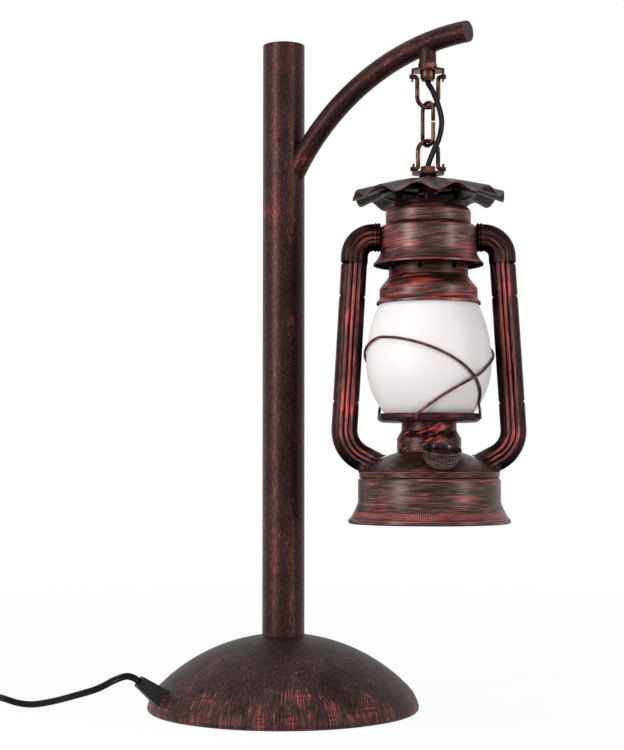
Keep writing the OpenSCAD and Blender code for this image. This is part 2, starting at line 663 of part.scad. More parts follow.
guard_peak = -145;
guard_near = 124;
guard_far = 143;
guard_low = plate_z + 5;
guard_rise = 0.633 * (globe_z1 - globe_z0);
function guard_z(d) = d > 0
    ? guard_low + guard_rise * pow(max(0, 1 - pow(d / guard_near, 2)), 0.8)
    : guard_low + guard_rise * (1 - pow(-d / guard_far, 1.3));
function guard_pt(d, z) =
    let (a = guard_peak + d)
    let (over = 2.4 * exp(-pow((d + 85.5) / 13, 2)))
    let (r = max(plate_r + guard_wire / 2 + 0.05, globe_at(z) + guard_wire / 2 + 0.2) + over)
    [r * cos(a), r * sin(a), z];
guard_path = concat(
    [guard_pt(guard_near, guard_low - 3), guard_pt(guard_near, guard_low)],
    [for (k = [1 : 40]) let (d = guard_near - (guard_near + guard_far) * k / 41)
        guard_pt(d, guard_z(d))],
    [guard_pt(-guard_far, guard_low), guard_pt(-guard_far, guard_low - 3)]);

module guard_wire_shape() {
    m = len(guard_path);
    pts = [for (i = [0 : m - 1]) let (p = guard_path[i])
        each ring(p, along(guard_path, i), [p[0], p[1], 0], guard_wire / 2, 8)];
    polyhedron(pts, concat(skin(m, 8), lid(8, 0, true), lid(8, (m - 1) * 8)));
}

module guard_wire_a() color(black) in_lantern() guard_wire_shape();

module guard_wire_b() color(black) in_lantern() rotate([0, 0, 180]) guard_wire_shape();

// Burner and tank

module burner() color(black_brown) in_lantern() spun([[burner_r, burner_z],
    [burner_r, burner_z + 9.8], [burner_r - 1.6, burner_z + 12.6], [burner_r - 3.2, burner_z + 15],
    [burner_r - 3.4, plate_z - seat_gap], [12, plate_z - seat_gap]], sheet);

tank_skirt_r = 50.2;
skirt_z = 33.3;
tank_edge_a = acos(tank_skirt_r / tank_dome_r);

module at_filler() {
    in_lantern() rotate([0, 0, filler_turn - 90]) translate([filler_r, 0, filler_z])
        rotate([0, filler_tilt, 0]) children();
}

module tank_top() color(black_brown) difference() {
    in_lantern() difference() {
        rotate_extrude($fn = 96) polygon(concat([[tank_skirt_r, skirt_z]],
            arc_pts(0, tank_c, tank_dome_r, tank_edge_a, 90, 14),
            backwards(arc_pts(0, tank_c, tank_dome_r - sheet, tank_edge_a + 0.4, 90, 14)),
            [[tank_skirt_r - sheet, skirt_z]]));
        cylinder(r = 14, h = 80);
    }
    at_filler() translate([0, 0, -9]) cylinder(r = filler_neck_r - 1.6, h = 14);
}

module tank_body() color(black_brown) in_lantern() spun(concat(
    [[tank_rim_r - 2, 0], [tank_rim_r - 0.5, 0.3], [tank_rim_r, 1.2], [tank_rim_r, 3.2]],
    [for (k = [1 : 6]) let (f = 90 * k / 6)
        [tank_r + (tank_rim_r - tank_r) * (1 - sin(f)) + 3.5 * sin(2 * f) / 2,
            3.2 + 12.5 * (1 - cos(f))]],
    [[tank_r, 31], [tank_r - 0.8, 32.2], [tank_skirt_r - sheet - 0.1, 33.2],
        [tank_skirt_r - sheet - 0.1, 35.6]]), sheet);

module tank_bottom() color(black_brown) in_lantern() translate([0, 0, 1.6])
    cylinder(r = tank_rim_r - sheet - 0.3, h = sheet);

// The neck's foot is cut to the tank's dome; two beads run round it under the cap.
module filler_neck() color(black_brown) difference() {
    at_filler() rotate_extrude() polygon([
        [filler_neck_r - 1.6, -8], [filler_neck_r, -8], [filler_neck_r, filler_lift - 3],
        [filler_neck_r + 0.8, filler_lift - 2.6], [filler_neck_r + 0.8, filler_lift - 1.8],
        [filler_neck_r, filler_lift - 1.4], [filler_neck_r + 0.8, filler_lift - 1],
        [filler_neck_r + 0.8, filler_lift - 0.4], [filler_neck_r, filler_lift],
        [filler_neck_r, filler_lift + 2.2], [filler_neck_r - 1.6, filler_lift + 2.2]]);
    in_lantern() translate([0, 0, tank_c]) sphere(r = tank_dome_r + seat_gap, $fn = 144);
}

module filler_cap() color(black_brown) at_filler() translate([0, 0, filler_lift]) difference() {
    rotate_extrude() polygon([
        [filler_neck_r + filler_play, 0.35], [filler_cap_r - 0.8, 0.35], [filler_cap_r - 0.8, 4.9],
        [filler_cap_r, 5.5], [filler_cap_r, 6.4], [filler_cap_r - 0.8, 6.7], [filler_cap_r - 1.6, 6.2],
        [filler_cap_r - 2.2, 3.6], [0, 3.6], [0, 2.5], [filler_neck_r + filler_play, 2.5]]);
    for (k = [0 : 29]) rotate([0, 0, 12 * k]) translate([filler_cap_r - 0.5, 0, 1])
        cylinder(r = 0.65, h = 3.4, $fn = 16);
}

module lamp_holder() color("#d8d4cc") in_lantern() difference() {
    translate([0, 0, holder_z]) cylinder(r = holder_r, h = holder_h);
    translate([0, 0, pipe_low - 0.1]) cylinder(d = lantern_pipe_d + 0.1, h = holder_h);
    translate([0, 0, pipe_low - 11]) cylinder(r = lead_d / 2 + 0.4, h = 12);
    translate([0, 0, holder_z - 1]) cylinder(r = bulb_cap_r + 0.4, h = bulb_cap_h + 3);
}

module bulb() color("#f2efe8") in_lantern() rotate_extrude() polygon(concat(
    [[0, holder_z + bulb_cap_h], [0, bulb_z - bulb_r]], arc_pts(0, bulb_z, bulb_r, -80, 50, 20),
    [[9, holder_z - 7], [bulb_cap_r + 1.4, holder_z - 1.6], [bulb_cap_r, holder_z - 0.4],
        [bulb_cap_r, holder_z + bulb_cap_h]]));

// Mains cord

module cord_gland() color(black) difference() {
    union() {
        difference() {
            at_gland() translate([0, 0, -3]) rotate([0, 0, 45])
                cylinder(d1 = 20, d2 = 12, h = gland_len + 3, $fn = 4);
            rotate_extrude($fn = 96) polygon(concat([[0, -1]], beside(dome_profile(), -seat_gap),
                [[0, dome_top]]));
        }
        at_gland() translate([0, 0, -4.6]) cylinder(d = gland_hole - 0.1, h = 9);
        at_gland() translate([0, 0, -4.6]) cylinder(r = 6.5, h = 2.2);
    }
    at_gland() translate([0, 0, -6]) cylinder(d = cord_d + 0.1, h = gland_len + 12);
}

gland_tip = gland_at + gland_len * gland_dir;
switch_z = floor_gap + switch_h / 2;
switch_end = switch_at[0] + switch_l / 2 + seat_gap;
run_path = concat(
    [gland_at + 8 * gland_dir, gland_at + 14 * gland_dir],
    spline([gland_tip, gland_tip + [-4, -1.4, 2.8], gland_tip + [-9.5, -2.6, 4],
        gland_tip + [-18, -1, 1], gland_tip + [-31, 5.5, -6], [-155, -22, 14.5],
        [-173, -4, 8], [-190, 11, 3.6], [-203, 20, 3.4], [-216, 27, 6],
        [switch_end + 5, switch_at[1], switch_z - 0.4]], 4),
    [[switch_end, switch_at[1], switch_z]]);

module cord_run() color(black) tube(run_path, cord_d / 2, 10, [0, 0, 1]);

pivot_z = floor_gap + switch_h - 4;

module switch_body() color(black) translate([switch_at[0], switch_at[1], 0]) difference() {
    translate([0, 0, floor_gap]) linear_extrude(switch_h) polygon([for (k = [0 : 3], p = arc_pts(
        (k == 0 || k == 3 ? 1 : -1) * (switch_l / 2 - 8),
        (k < 2 ? 1 : -1) * (switch_w / 2 - 8), 8, 90 * k, 90 * k + 90, 6)) p]);
    translate([-10, -6.5, floor_gap + switch_h - 11.5]) cube([20, 13, 12]);
    translate([0, 8.6, pivot_z]) rotate([90, 0, 0]) cylinder(r = 1.4 + pin_play, h = 17.2, $fn = 24);
}

module switch_rocker() color("#26262a") translate([switch_at[0], switch_at[1], pivot_z])
    rotate([0, rocker_tilt, 0]) rotate([90, 0, 0]) {
        translate([0, 0, -6.1]) linear_extrude(12.2) polygon([[-9, -1], [-4, -5], [4, -5],
            [9, -1], [9, 5.2], [0, 4], [-9, 5.2]]);
        translate([0, 0, -8.1]) cylinder(r = 1.4, h = 16.2, $fn = 24);
    }

// Coil: one layer spirals in, the other spirals out on top of it.
coil_pitch = cord_d + coil_gap;
coil_z = floor_gap + cord_d / 2;
coil_x = coil_at[0] - coil_r;
plug_z = floor_gap + plug_h / 2;
function coil_pt(t) =
    let (r = coil_r - coil_pitch * min(t, coil_turns - t), a = 180 - 360 * t)
    let (f = max(0, min(1, 2 * (t - coil_turns / 2) + 0.5)))
    [coil_at[0] + r * cos(a), coil_at[1] + r * sin(a), coil_z + coil_pitch * f];
coil_path = concat(
    [[switch_at[0] - switch_l / 2 - seat_gap, switch_at[1], switch_z]],
    spline([[switch_at[0] - switch_l / 2 - 5, switch_at[1], switch_z], [-303, 32.5, 6.6],
        [-314, 37.5, 4.2], [coil_x + 8, 46, 2.9], [coil_x + 2, 60, coil_z],
        [coil_x, 76, coil_z], [coil_x, coil_at[1] - 4, coil_z]], 3),
    [for (k = [0 : 24 * coil_turns]) coil_pt(k / 24)],
    [[coil_x, 106, coil_z + coil_pitch - 0.1], [coil_x, 113, plug_z + 0.5],
        [coil_x, 120, plug_z], [coil_x, plug_y - seat_gap, plug_z]]);
coil_least = min([for (i = [0 : len(coil_path) - 14], j = [i + 13 : len(coil_path) - 1])
    norm(coil_path[i] - coil_path[j])]) - cord_d;
echo(coil_self_gap = coil_least);
echo(cord_length = length_of(run_path) + length_of(coil_path) + switch_l);

module cord_coil() color(black) tube(coil_path, cord_d / 2, 6, [0, 0, 1]);

module plug_body() color(black) translate([coil_x, plug_y, floor_gap]) difference() {
    linear_extrude(plug_h) polygon([[-6, 0], [6, 0], [7, 4], [17, 22], [17, plug_l - 2],
        [15, plug_l], [-15, plug_l], [-17, plug_l - 2], [-17, 22], [-7, 4]]);
    for (s = [-1, 1]) translate([9.3 * s, plug_l - 6.05, plug_h / 2]) rotate([-90, 0, 0])
        cylinder(r = 2.05, h = 7, $fn = 24);
}

module plug_pins() color("#c8c4bc") translate([coil_x, plug_y + plug_l - 6, plug_z])
    for (s = [-1, 1]) translate([9.3 * s, 0, 0]) rotate([-90, 0, 0])
        cylinder(r = 2, h = 25, $fn = 24);

base_dome();
base_pad();
base_plate();
base_weight();
base_stud();
base_washer();
base_nut();
post_tube();
post_cap();
post_foot();
arm_tube();
arm_end_cap();
arm_boss();
hanger_pipe();
hanger_nut();
hanger_plate();
hanger_bush();
inner_lead();
cord_gland();
cord_run();
switch_body();
switch_rocker();
cord_coil();
plug_body();
plug_pins();
upper_bail();
chain_link();
lower_bail();
chain_lead();
lower_plate();
lower_nut();
lantern_pipe();
cap_collar();
ruffled_cap();
crown();
crown_nut();
hood();
chimney();
side_tube_left();
side_tube_right();
globe();
globe_plate();
guard_wire_a();
guard_wire_b();
burner();
tank_top();
tank_body();
tank_bottom();
filler_neck();
filler_cap();
lamp_holder();
bulb();
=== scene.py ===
import json
from math import atan, cos, exp, pi, radians, sin, sqrt

import bpy
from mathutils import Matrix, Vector


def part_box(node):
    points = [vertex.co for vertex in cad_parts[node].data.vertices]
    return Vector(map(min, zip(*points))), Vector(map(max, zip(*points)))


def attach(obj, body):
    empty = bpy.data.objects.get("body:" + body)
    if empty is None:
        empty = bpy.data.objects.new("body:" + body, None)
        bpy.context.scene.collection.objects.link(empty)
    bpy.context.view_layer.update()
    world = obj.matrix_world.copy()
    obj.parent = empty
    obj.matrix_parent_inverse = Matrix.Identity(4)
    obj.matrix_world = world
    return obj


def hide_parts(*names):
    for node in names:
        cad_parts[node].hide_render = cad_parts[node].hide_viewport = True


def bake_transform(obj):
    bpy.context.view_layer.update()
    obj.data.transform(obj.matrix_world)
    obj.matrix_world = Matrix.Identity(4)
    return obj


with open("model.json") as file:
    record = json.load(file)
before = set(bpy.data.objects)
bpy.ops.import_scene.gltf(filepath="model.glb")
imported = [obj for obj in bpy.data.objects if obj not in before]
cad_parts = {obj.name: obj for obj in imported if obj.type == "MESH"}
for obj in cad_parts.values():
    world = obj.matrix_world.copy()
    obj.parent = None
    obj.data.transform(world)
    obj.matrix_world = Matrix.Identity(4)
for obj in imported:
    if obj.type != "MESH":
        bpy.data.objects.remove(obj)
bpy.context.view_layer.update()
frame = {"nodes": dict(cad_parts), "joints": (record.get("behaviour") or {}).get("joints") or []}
nodes = frame["nodes"]
jointAt = {joint["name"]: Vector(joint["pos_m"]) for joint in frame["joints"]}
scene = bpy.context.scene
mm = 0.001

# The lantern's own frame: its hanging axis and the underside of its tank.
hang = Vector((jointAt["upper_bail_swing"].x, jointAt["upper_bail_swing"].y, 0))
lanternAt = hang + Vector((0, 0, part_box("tank_body")[0].z))


# Camera

cameraSet = {
    "place": (9.4, -1255.7, 187.6),  # mm, about lantern height, in front of the lamp
    "pitch": 93.01,  # degrees, 90 is level
    "turn": -0.56,
    "lens": 79.2,  # mm
    "sensor": 36,  # mm, the picture's long side
    "clip": 10,  # mm, nothing nearer is drawn
}


def addCamera():
    data = bpy.data.cameras.new("photoCamera")
    data.sensor_fit = "AUTO"
    data.sensor_width = cameraSet["sensor"]
    data.lens = cameraSet["lens"]
    data.clip_start = cameraSet["clip"] * mm
    camera = bpy.data.objects.new("photoCamera", data)
    camera.location = Vector(cameraSet["place"]) * mm
    camera.rotation_euler = (radians(cameraSet["pitch"]), 0, radians(cameraSet["turn"]))
    scene.collection.objects.link(camera)
    scene.camera = camera


addCamera()
print("camera set")


# Mesh helpers

def meshPiece(name, points, faces, lay=None, wear=None):
    mesh = bpy.data.meshes.new(name)
    mesh.from_pydata([tuple(p) for p in points], [], faces)
    mesh.update()
    mesh.polygons.foreach_set("use_smooth", [True] * len(mesh.polygons))
    if lay:  # lay gives a point its distance along and across the brush strokes, in metres
        mesh.attributes.new("lay", "FLOAT_VECTOR", "POINT").data.foreach_set(
            "vector", [value for item in lay for value in item])
    if wear:  # wear is how much more or less red paint a point has caught
        mesh.attributes.new("wear", "FLOAT", "POINT").data.foreach_set("value", wear)
    piece = bpy.data.objects.new(name, mesh)
    scene.collection.objects.link(piece)
    return piece


def ringFaces(rings, sides, closed=False):
    faces = []
    for i in range(rings if closed else rings - 1):
        for j in range(sides):
            a, b = i * sides + j, i * sides + (j + 1) % sides
            c, d = ((i + 1) % rings) * sides + (j + 1) % sides, ((i + 1) % rings) * sides + j
            faces.append((a, b, c, d))
    return faces


def roundTurn(count):
    return [2 * pi * k / count for k in range(count)]


def smoothLine(points, steps):
    # Hermite curve through the points, with the slopes taken from their neighbours
    points = [Vector(p) for p in points]
    last = len(points) - 1
    slopes = []
    for i in range(last + 1):
        low, high = max(i - 1, 0), min(i + 1, last)
        slopes.append((points[high] - points[low]) / (high - low))
    line = []
    for i in range(last):
        for k in range(steps):
            t = k / steps
            line.append((2 * t**3 - 3 * t**2 + 1) * points[i] + (t**3 - 2 * t**2 + t) * slopes[i]
                        + (3 * t**2 - 2 * t**3) * points[i + 1] + (t**3 - t**2) * slopes[i + 1])
    return line + [points[last]]


def roundSection(radius, sides):
    return [(radius * cos(a), radius * sin(a)) for a in roundTurn(sides)]


# Flat twin flex, in shares of its own size.
flexSet = {"sides": 28, "groove": 0.34, "grooveHalf": 0.13, "square": 0.8}


def twinSection(width, thick):
    # two cores side by side with a shallow groove between them
    section = []
    for a in roundTurn(flexSet["sides"]):
        x = width / 2 * cos(a)
        waist = 1 - flexSet["groove"] * exp(-(x / (flexSet["grooveHalf"] * width))**2)
        bulge = abs(sin(a))**flexSet["square"]
        section.append((x, thick / 2 * waist * (bulge if sin(a) > 0 else -bulge)))
    return section


def sweep(name, line, section, up, caps=(True, True)):
    # the section's first axis lies across the line and across up
    line = [Vector(p) for p in line]
    sides, last = len(section), len(line) - 1
    points, lay, run = [], [], 0
    for i, p in enumerate(line):
        tangent = (line[min(i + 1, last)] - line[max(i - 1, 0)]).normalized()
        side = tangent.cross(up(i) if callable(up) else Vector(up)).normalized()
        rise = side.cross(tangent)
        run += (p - line[i - 1]).length if i else 0
        for a, b in section:
            points.append(p + a * side + b * rise)
            lay.append((run, a, b))
    faces = ringFaces(len(line), sides)
    if caps[0]:
        faces.append(tuple(reversed(range(sides))))
    if caps[1]:
        faces.append(tuple(last * sides + j for j in range(sides)))
    return meshPiece(name, points, faces, lay=lay)


# Material helpers

def linear(hexText, share=1):
    # sRGB hex to linear light, or to a share of it
    parts = [int(hexText[i:i + 2], 16) / 255 for i in (1, 3, 5)]
    return [share * (p / 12.92 if p <= 0.04045 else ((p + 0.055) / 1.055)**2.4) for p in parts] + [1]


def addNode(tree, kind, inputs=(), **settings):
    node = tree.nodes.new("ShaderNode" + kind)
    for key, value in settings.items():
        setattr(node, key, value)
    for key, value in dict(inputs).items():
        if isinstance(value, bpy.types.NodeSocket):
            tree.links.new(value, node.inputs[key])
        else:
            node.inputs[key].default_value = value
    return node


def newMaterial(name, **surface):
    material = bpy.data.materials.new(name)
    material.use_nodes = True
    shader = material.node_tree.nodes["Principled BSDF"]
    for key, value in surface.items():
        shader.inputs[key].default_value = value
    return material, material.node_tree, shader


def perMetre(size):
    return 1 / (size * mm)  # pattern scale for one feature of that many millimetres


def between(span, low=0, high=1):
    # inputs that turn the span into low to high
    return {"From Min": span[0], "From Max": span[1], "To Min": low, "To Max": high}


def cloudedMaterial(name, dark, light, cloudSize, detail, **surface):
    # the start of the plainer materials: two tones in clouds of so many millimetres
    material, tree, shader = newMaterial(name, **surface)
    place = addNode(tree, "TexCoord").outputs["Object"]
    cloud = addNode(tree, "TexNoise", {"Vector": place, "Scale": perMetre(cloudSize),
                                       "Detail": detail}).outputs[0]
    tone = addNode(tree, "Mix", {0: cloud, 6: dark, 7: light}, data_type="RGBA").outputs[2]
    tree.links.new(tone, shader.inputs["Base Color"])
    return material, tree, shader, place, cloud


# Mains cord: 1.8 m of flat twin flex, on its edge, from the strain relief by the switch to the plug.

cordSet = {
    "across": 5,  # mm, like every length here
    "thick": 3,
    "gland": (-89.9, -36.32, 15.72),  # where it leaves the dome
    "glandRise": 37,  # degrees
    "glandTurn": 202,
    "glandLength": 20,
    "inGland": (9, 14),
    "leaving": ((-4, -1.4, 2.8), (-9.5, -2.6, 4), (-18, -1, 1), (-31, 5.5, -6)),  # from the gland's tip
    "toSwitch": ((-155, -22, 14.5), (-173, -4, 8), (-190, 11, 3.6), (-203, 20, 3.4), (-216, 27, 6)),
    "switch": (-262, 30),
    "switchLength": 58,
    "switchHeight": 17,
    "switchBoss": 5,
    "switchDip": 0.4,
    "toCoil": ((-303, 32.5, 6.6), (-314, 37.5, 4.2), (-324, 46, 2.9)),
    "steps": (8, 6),  # points from place to place, before the switch and after it
    "coil": (-292, 98),
    "coilRadius": 40,
    "coilGap": 0.6,
    "coilTurns": 8,
    "coilSteps": 36,  # points in a turn
    "plugStart": 126,
    "plugHeight": 13.7,
    "floorGap": 0.1,
}


def glandAxis():
    rise, turn = radians(cordSet["glandRise"]), radians(cordSet["glandTurn"])
    return Vector((cos(rise) * cos(turn), cos(rise) * sin(turn), sin(rise)))


def cordRoute():
    c = cordSet
    out = glandAxis()
    start = Vector(c["gland"])
    tip = start + c["glandLength"] * out
    switchX, switchY = c["switch"]
    switchZ = c["floorGap"] + c["switchHeight"] / 2
    reach = c["switchLength"] / 2 + c["switchBoss"]
    run = [start + d * out for d in c["inGland"]]
    run += smoothLine([tip, *(tip + Vector(p) for p in c["leaving"]), *c["toSwitch"],
                       (switchX + reach, switchY, switchZ - c["switchDip"])], c["steps"][0])
    pitch = c["across"] + c["coilGap"]
    coilX, coilY = c["coil"]
    edgeX, low = coilX - c["coilRadius"], c["floorGap"] + c["across"] / 2
    run += smoothLine([(switchX - reach, switchY, switchZ), *c["toCoil"], (edgeX + 2, 60, low),
                       (edgeX, 76, low), (edgeX, coilY - 4, low)], c["steps"][1])
    steps = c["coilSteps"] * c["coilTurns"]
    for k in range(steps + 1):
        t = k * c["coilTurns"] / steps
        r = c["coilRadius"] - pitch * min(t, c["coilTurns"] - t)  # in on the floor, out on top
        lift = max(0, min(1, 2 * (t - c["coilTurns"] / 2) + 0.5))
        a = pi - 2 * pi * t
        run.append(Vector((coilX + r * cos(a), coilY + r * sin(a), low + pitch * lift)))
    plugZ = c["floorGap"] + c["plugHeight"] / 2
    toPlug = ((-20, low + pitch - 0.1), (-13, plugZ + 0.5), (-6, plugZ), (1, plugZ))
    run += [Vector((edgeX, c["plugStart"] + y, z)) for y, z in toPlug]
    return [p * mm for p in run], tip * mm


# Coil tie: a flat strap round the coil, thin enough to pass under it.

tieSet = {
    "at": -35,  # degrees round the coil
    "width": 4, "strap": 0.5, "slack": 0.3, "under": (0.02, 0.08),
    "corner": 1.5, "underCorner": 0.4, "cornerSteps": 6,
}


def roundedBox(low, high, bottom, top, corner):
    steps = tieSet["cornerSteps"]
    points = []
    for k, (x, z) in enumerate(((high, top), (low, top), (low, bottom), (high, bottom))):
        bend = corner if z == top else min(corner, tieSet["underCorner"])
        middleX = x - bend if x == high else x + bend
        middleZ = z - bend if z == top else z + bend
        for j in range(steps + 1):
            a = pi / 2 * (k + j / steps)
            points.append((middleX + bend * cos(a), middleZ + bend * sin(a)))
    return points


def addCoilTie():
    c, t = cordSet, tieSet
    pitch = c["across"] + c["coilGap"]
    low = c["coilRadius"] - pitch * c["coilTurns"] / 2 - c["thick"] / 2 - t["slack"]
    high = c["coilRadius"] + c["thick"] / 2 + t["slack"]
    top = c["floorGap"] + c["across"] + pitch + t["slack"]
    inner = roundedBox(low, high, t["under"][1], top, t["corner"])
    outer = roundedBox(low - t["strap"], high + t["strap"], t["under"][0], top + t["strap"],
                       t["corner"] + t["strap"])
    a, half = radians(t["at"]), t["width"] / 2
    away, along = Vector((cos(a), sin(a), 0)), Vector((-sin(a), cos(a), 0))
    middle = Vector((*c["coil"], 0))
    points = []
    for near, far in zip(inner, outer):
        for (r, z), side in ((near, -half), (far, -half), (far, half), (near, half)):
            points.append((middle + r * away + side * along + Vector((0, 0, z))) * mm)
    tie = meshPiece("coilTie", points, ringFaces(len(inner), 4, closed=True))
    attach(tie, "stand")
    return tie


def addMainsCord():
    line, tip = cordRoute()
    flat = twinSection(cordSet["across"] * mm, cordSet["thick"] * mm)
    cord = sweep("mainsCord", line, [(-b, a) for a, b in flat], (0, 0, 1))
    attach(cord, "stand")
    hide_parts("cord_run", "cord_coil")
    return cord


coilTie = addCoilTie()
mainsCord = addMainsCord()
print("mains cord laid")


# Lead along the chain: four lengths, each bending across one joint.

leadSet = {"width": 4, "thick": 2.5, "bailHalf": 1.6, "face": (0.35, 1, 0), "steps": 14}
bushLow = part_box("hanger_bush")[0].z
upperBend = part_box("upper_bail")[0].z + leadSet["bailHalf"] * mm
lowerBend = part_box("lower_bail")[1].z - leadSet["bailHalf"] * mm
upperArc, lowerArc = jointAt["chain_link_swing"].z, jointAt["lower_bail_swing"].z
lowerPin = jointAt["lantern_swing"].z
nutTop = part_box("lower_nut")[1].z


def leadRoute():
    places = (  # mm from the hanging axis, a fitting's level and mm above it
        (0, 0, bushLow, 3), (0, 0, bushLow, -0.4),
        (0.3, -0.2, bushLow, -1.8), (3.6, -3.2, upperArc, 3), (7.2, -5.6, upperBend, 0),
        (9.3, -6.6, upperBend, -10), (8.9, -6.6, lowerBend, 7), (7.2, -6, lowerBend, 0),
        (4.4, -4.6, lowerArc, 1), (1.5, -2, lowerPin, 7), (0, 0, nutTop, 1),
        (0, 0, nutTop, -6),
    )
    points = [hang + Vector((x * mm, y * mm, level + up * mm)) for x, y, level, up in places]
    return points[:2] + smoothLine(points[2:-1], leadSet["steps"]) + points[-1:]


def addChainLead():
    line = leadRoute()
    section = twinSection(leadSet["width"] * mm, leadSet["thick"] * mm)
    cuts = [upperArc + 3.5 * mm, (upperBend + lowerBend) / 2, lowerArc - 0.5 * mm]
    nearest = [min(range(len(line)), key=lambda i: abs(line[i].z - z)) for z in cuts]
    marks = [0] + nearest + [len(line) - 1]
    pieces = []
    for k in range(4):
        part = line[marks[k]:marks[k + 1] + 1]
        piece = sweep("chainLead%d" % (k + 1), part, section, leadSet["face"], caps=(k == 0, k == 3))
        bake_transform(piece)
        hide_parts("chain_lead")
        pieces.append(piece)
    return pieces


chainLeads = addChainLead()
print("chain lead bent")


# Ruffled cap: one sheet pressed into lobes that grow towards the rim.

capSet = {
    "radius": 54.6, "hole": 3.6, "flat": 9, "plain": 12, "sheet": 0.9,
    "top": 248.2, "drop": 13.2, "dropBend": 1.1,
    "wave": 2.7, "waveBend": 0.65, "lobes": 12, "lowAt": -88.2,  # degrees
    "rings": 30, "lobeSides": 24, "edgeIn": (0.4, 0.08), "edgeDown": 0.2,
}


def capHeight(r, a):
    c = capSet
    slope = max(0, (r - c["flat"]) / (c["radius"] - c["flat"]))
    ripple = max(0, (r - c["plain"]) / (c["radius"] - c["plain"]))
    wave = c["wave"] * ripple**c["waveBend"] * cos(c["lobes"] * (a - radians(c["lowAt"])))
    return c["top"] - c["drop"] * slope**c["dropBend"] - wave


def addRuffledCap():
    c = capSet
    sides, rim, sheet, down = c["lobes"] * c["lobeSides"], c["radius"], c["sheet"], c["edgeDown"]
    inner, outer = [rim - inset for inset in c["edgeIn"]]
    radii = [c["hole"] + (inner - c["hole"]) * k / c["rings"] for k in range(c["rings"] + 1)]
    loop = [(r, 0) for r in radii]
    loop += [(outer, down), (rim, sheet / 2), (outer, sheet - down)]  # the rounded edge
    loop += [(r, sheet) for r in reversed(radii)]
    points, lay = [], []
    for r, depth in loop:
        for a in roundTurn(sides):
            points.append(lanternAt + Vector((r * cos(a), r * sin(a), capHeight(r, a) - depth)) * mm)
            lay.append((r * mm, r * a * mm, depth * mm))
    cap = meshPiece("ruffledCap", points, ringFaces(len(loop), sides, closed=True), lay=lay)
    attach(cap, "lantern")
    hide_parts("ruffled_cap")
    return cap


ruffledCap = addRuffledCap()
print("ruffled cap pressed")


# Crown rim: the edge of the crown's brim is rolled into a bead.

rimSet = {"radius": 33.3, "bead": 1.2, "below": 6, "around": 120, "sides": 12}


def addCrownRim():
    r = rimSet
    section = roundSection(r["bead"], r["sides"])
    middle = Vector((hang.x, hang.y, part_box("crown")[1].z)) - Vector((0, 0, r["below"] * mm))
    points = []
    for a in roundTurn(r["around"]):
        for x, z in section:
            out = r["radius"] + x
            points.append(middle + Vector((out * cos(a), out * sin(a), z)) * mm)
    rim = meshPiece("crownRim", points, ringFaces(r["around"], r["sides"], closed=True))
    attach(rim, "lantern")
    return rim


crownRim = addCrownRim()
print("crown rim rolled")


# Side tubes: a smooth elbow at the hood, then a leg pressed with three ribs that bends in to the tank.

tubeSet = {
    "width": 18.8, "depth": 13, "around": 176, "roundness": 2.6,
    # places across the front run from 1 at the outer edge to -1 at the inner one
    "body": (0.44, -0.6), "step": 1.3, "stepMost": 0.6, "stepBlend": 0.015,
    "grooves": (0.1, -0.26), "grooveDeep": 1.1, "grooveHalf": 0.055, "elbowGroove": 0.35,
    "ribs": ((0.3, 0.09, 0.16), (-0.08, 0.12, 0.3), (-0.44, 0.11, 0.16)),  # place, half width, extra red
    "hoodRadius": 34.6, "stubZ": 205.6, "topX": 53.2, "lowX": 60.6, "lowZ": 68,
    "topBend": 13.6, "lowBend": 22, "lowTurn": 62,
    "stubRings": 24, "topRings": 24, "legRings": 210, "lowRings": 30,
    "legInner": 8, "elbowEnd": 187, "elbowBlend": 0.3, "elbowProud": 0.4,
    "notch": 1.1, "notchBelow": 0.6, "notchHalf": 0.7,
    "crimps": (163, 87), "crimpDeep": 0.8, "crimpHalf": 0.8, "edgeSharp": 8,
    "collars": (35.8, 38), "collarHigh": 0.08, "collarHalf": 0.6,  # two beads by the hood
    "tankCentre": -26.8, "tankRadius": 81, "gap": 0.06, "lip": 0.9, "foot": 0.8, "footRuns": (5, 6, 7),
    "wear": {  # red caught on edges and the foot, or kept off grooves, steps, notches and the elbow
        "edge": 0.22, "edgeSharp": 40, "foot": 0.25, "groove": 0.22, "step": 0.24, "stepEnd": 0.93,
        "notch": 0.25, "elbow": 0.2, "elbowShare": 0.7,
    },
}


def tubeStations():
    # places down the tube, each with the direction to its outer edge
    t = tubeSet
    lean = atan((t["lowX"] - t["topX"]) / (t["stubZ"] - t["topBend"] - t["lowZ"]))
    startX = t["topX"] - t["topBend"]
    stub = (startX - t["hoodRadius"]) / t["stubRings"]
    stations = [(t["hoodRadius"] + stub * k, t["stubZ"], 0, 1) for k in range(t["stubRings"])]
    for k in range(t["topRings"] + 1):
        f = (pi / 2 - lean) * k / t["topRings"]
        x, z = startX + t["topBend"] * sin(f), t["stubZ"] - t["topBend"] * (1 - cos(f))
        stations.append((x, z, sin(f), cos(f)))
    topX, topZ = stations[-1][:2]
    legs = t["legRings"]
    for k in range(1, legs):
        x, z = topX + (t["lowX"] - topX) * k / legs, topZ + (t["lowZ"] - topZ) * k / legs
        stations.append((x, z, cos(lean), sin(lean)))
    lowX, lowZ = t["lowX"] - t["lowBend"] * cos(lean), t["lowZ"] - t["lowBend"] * sin(lean)
    for k in range(t["lowRings"] + 1):
        f = -lean + (radians(t["lowTurn"]) + lean) * k / t["lowRings"]
        stations.append((lowX + t["lowBend"] * cos(f), lowZ - t["lowBend"] * sin(f), cos(f), -sin(f)))
    return stations


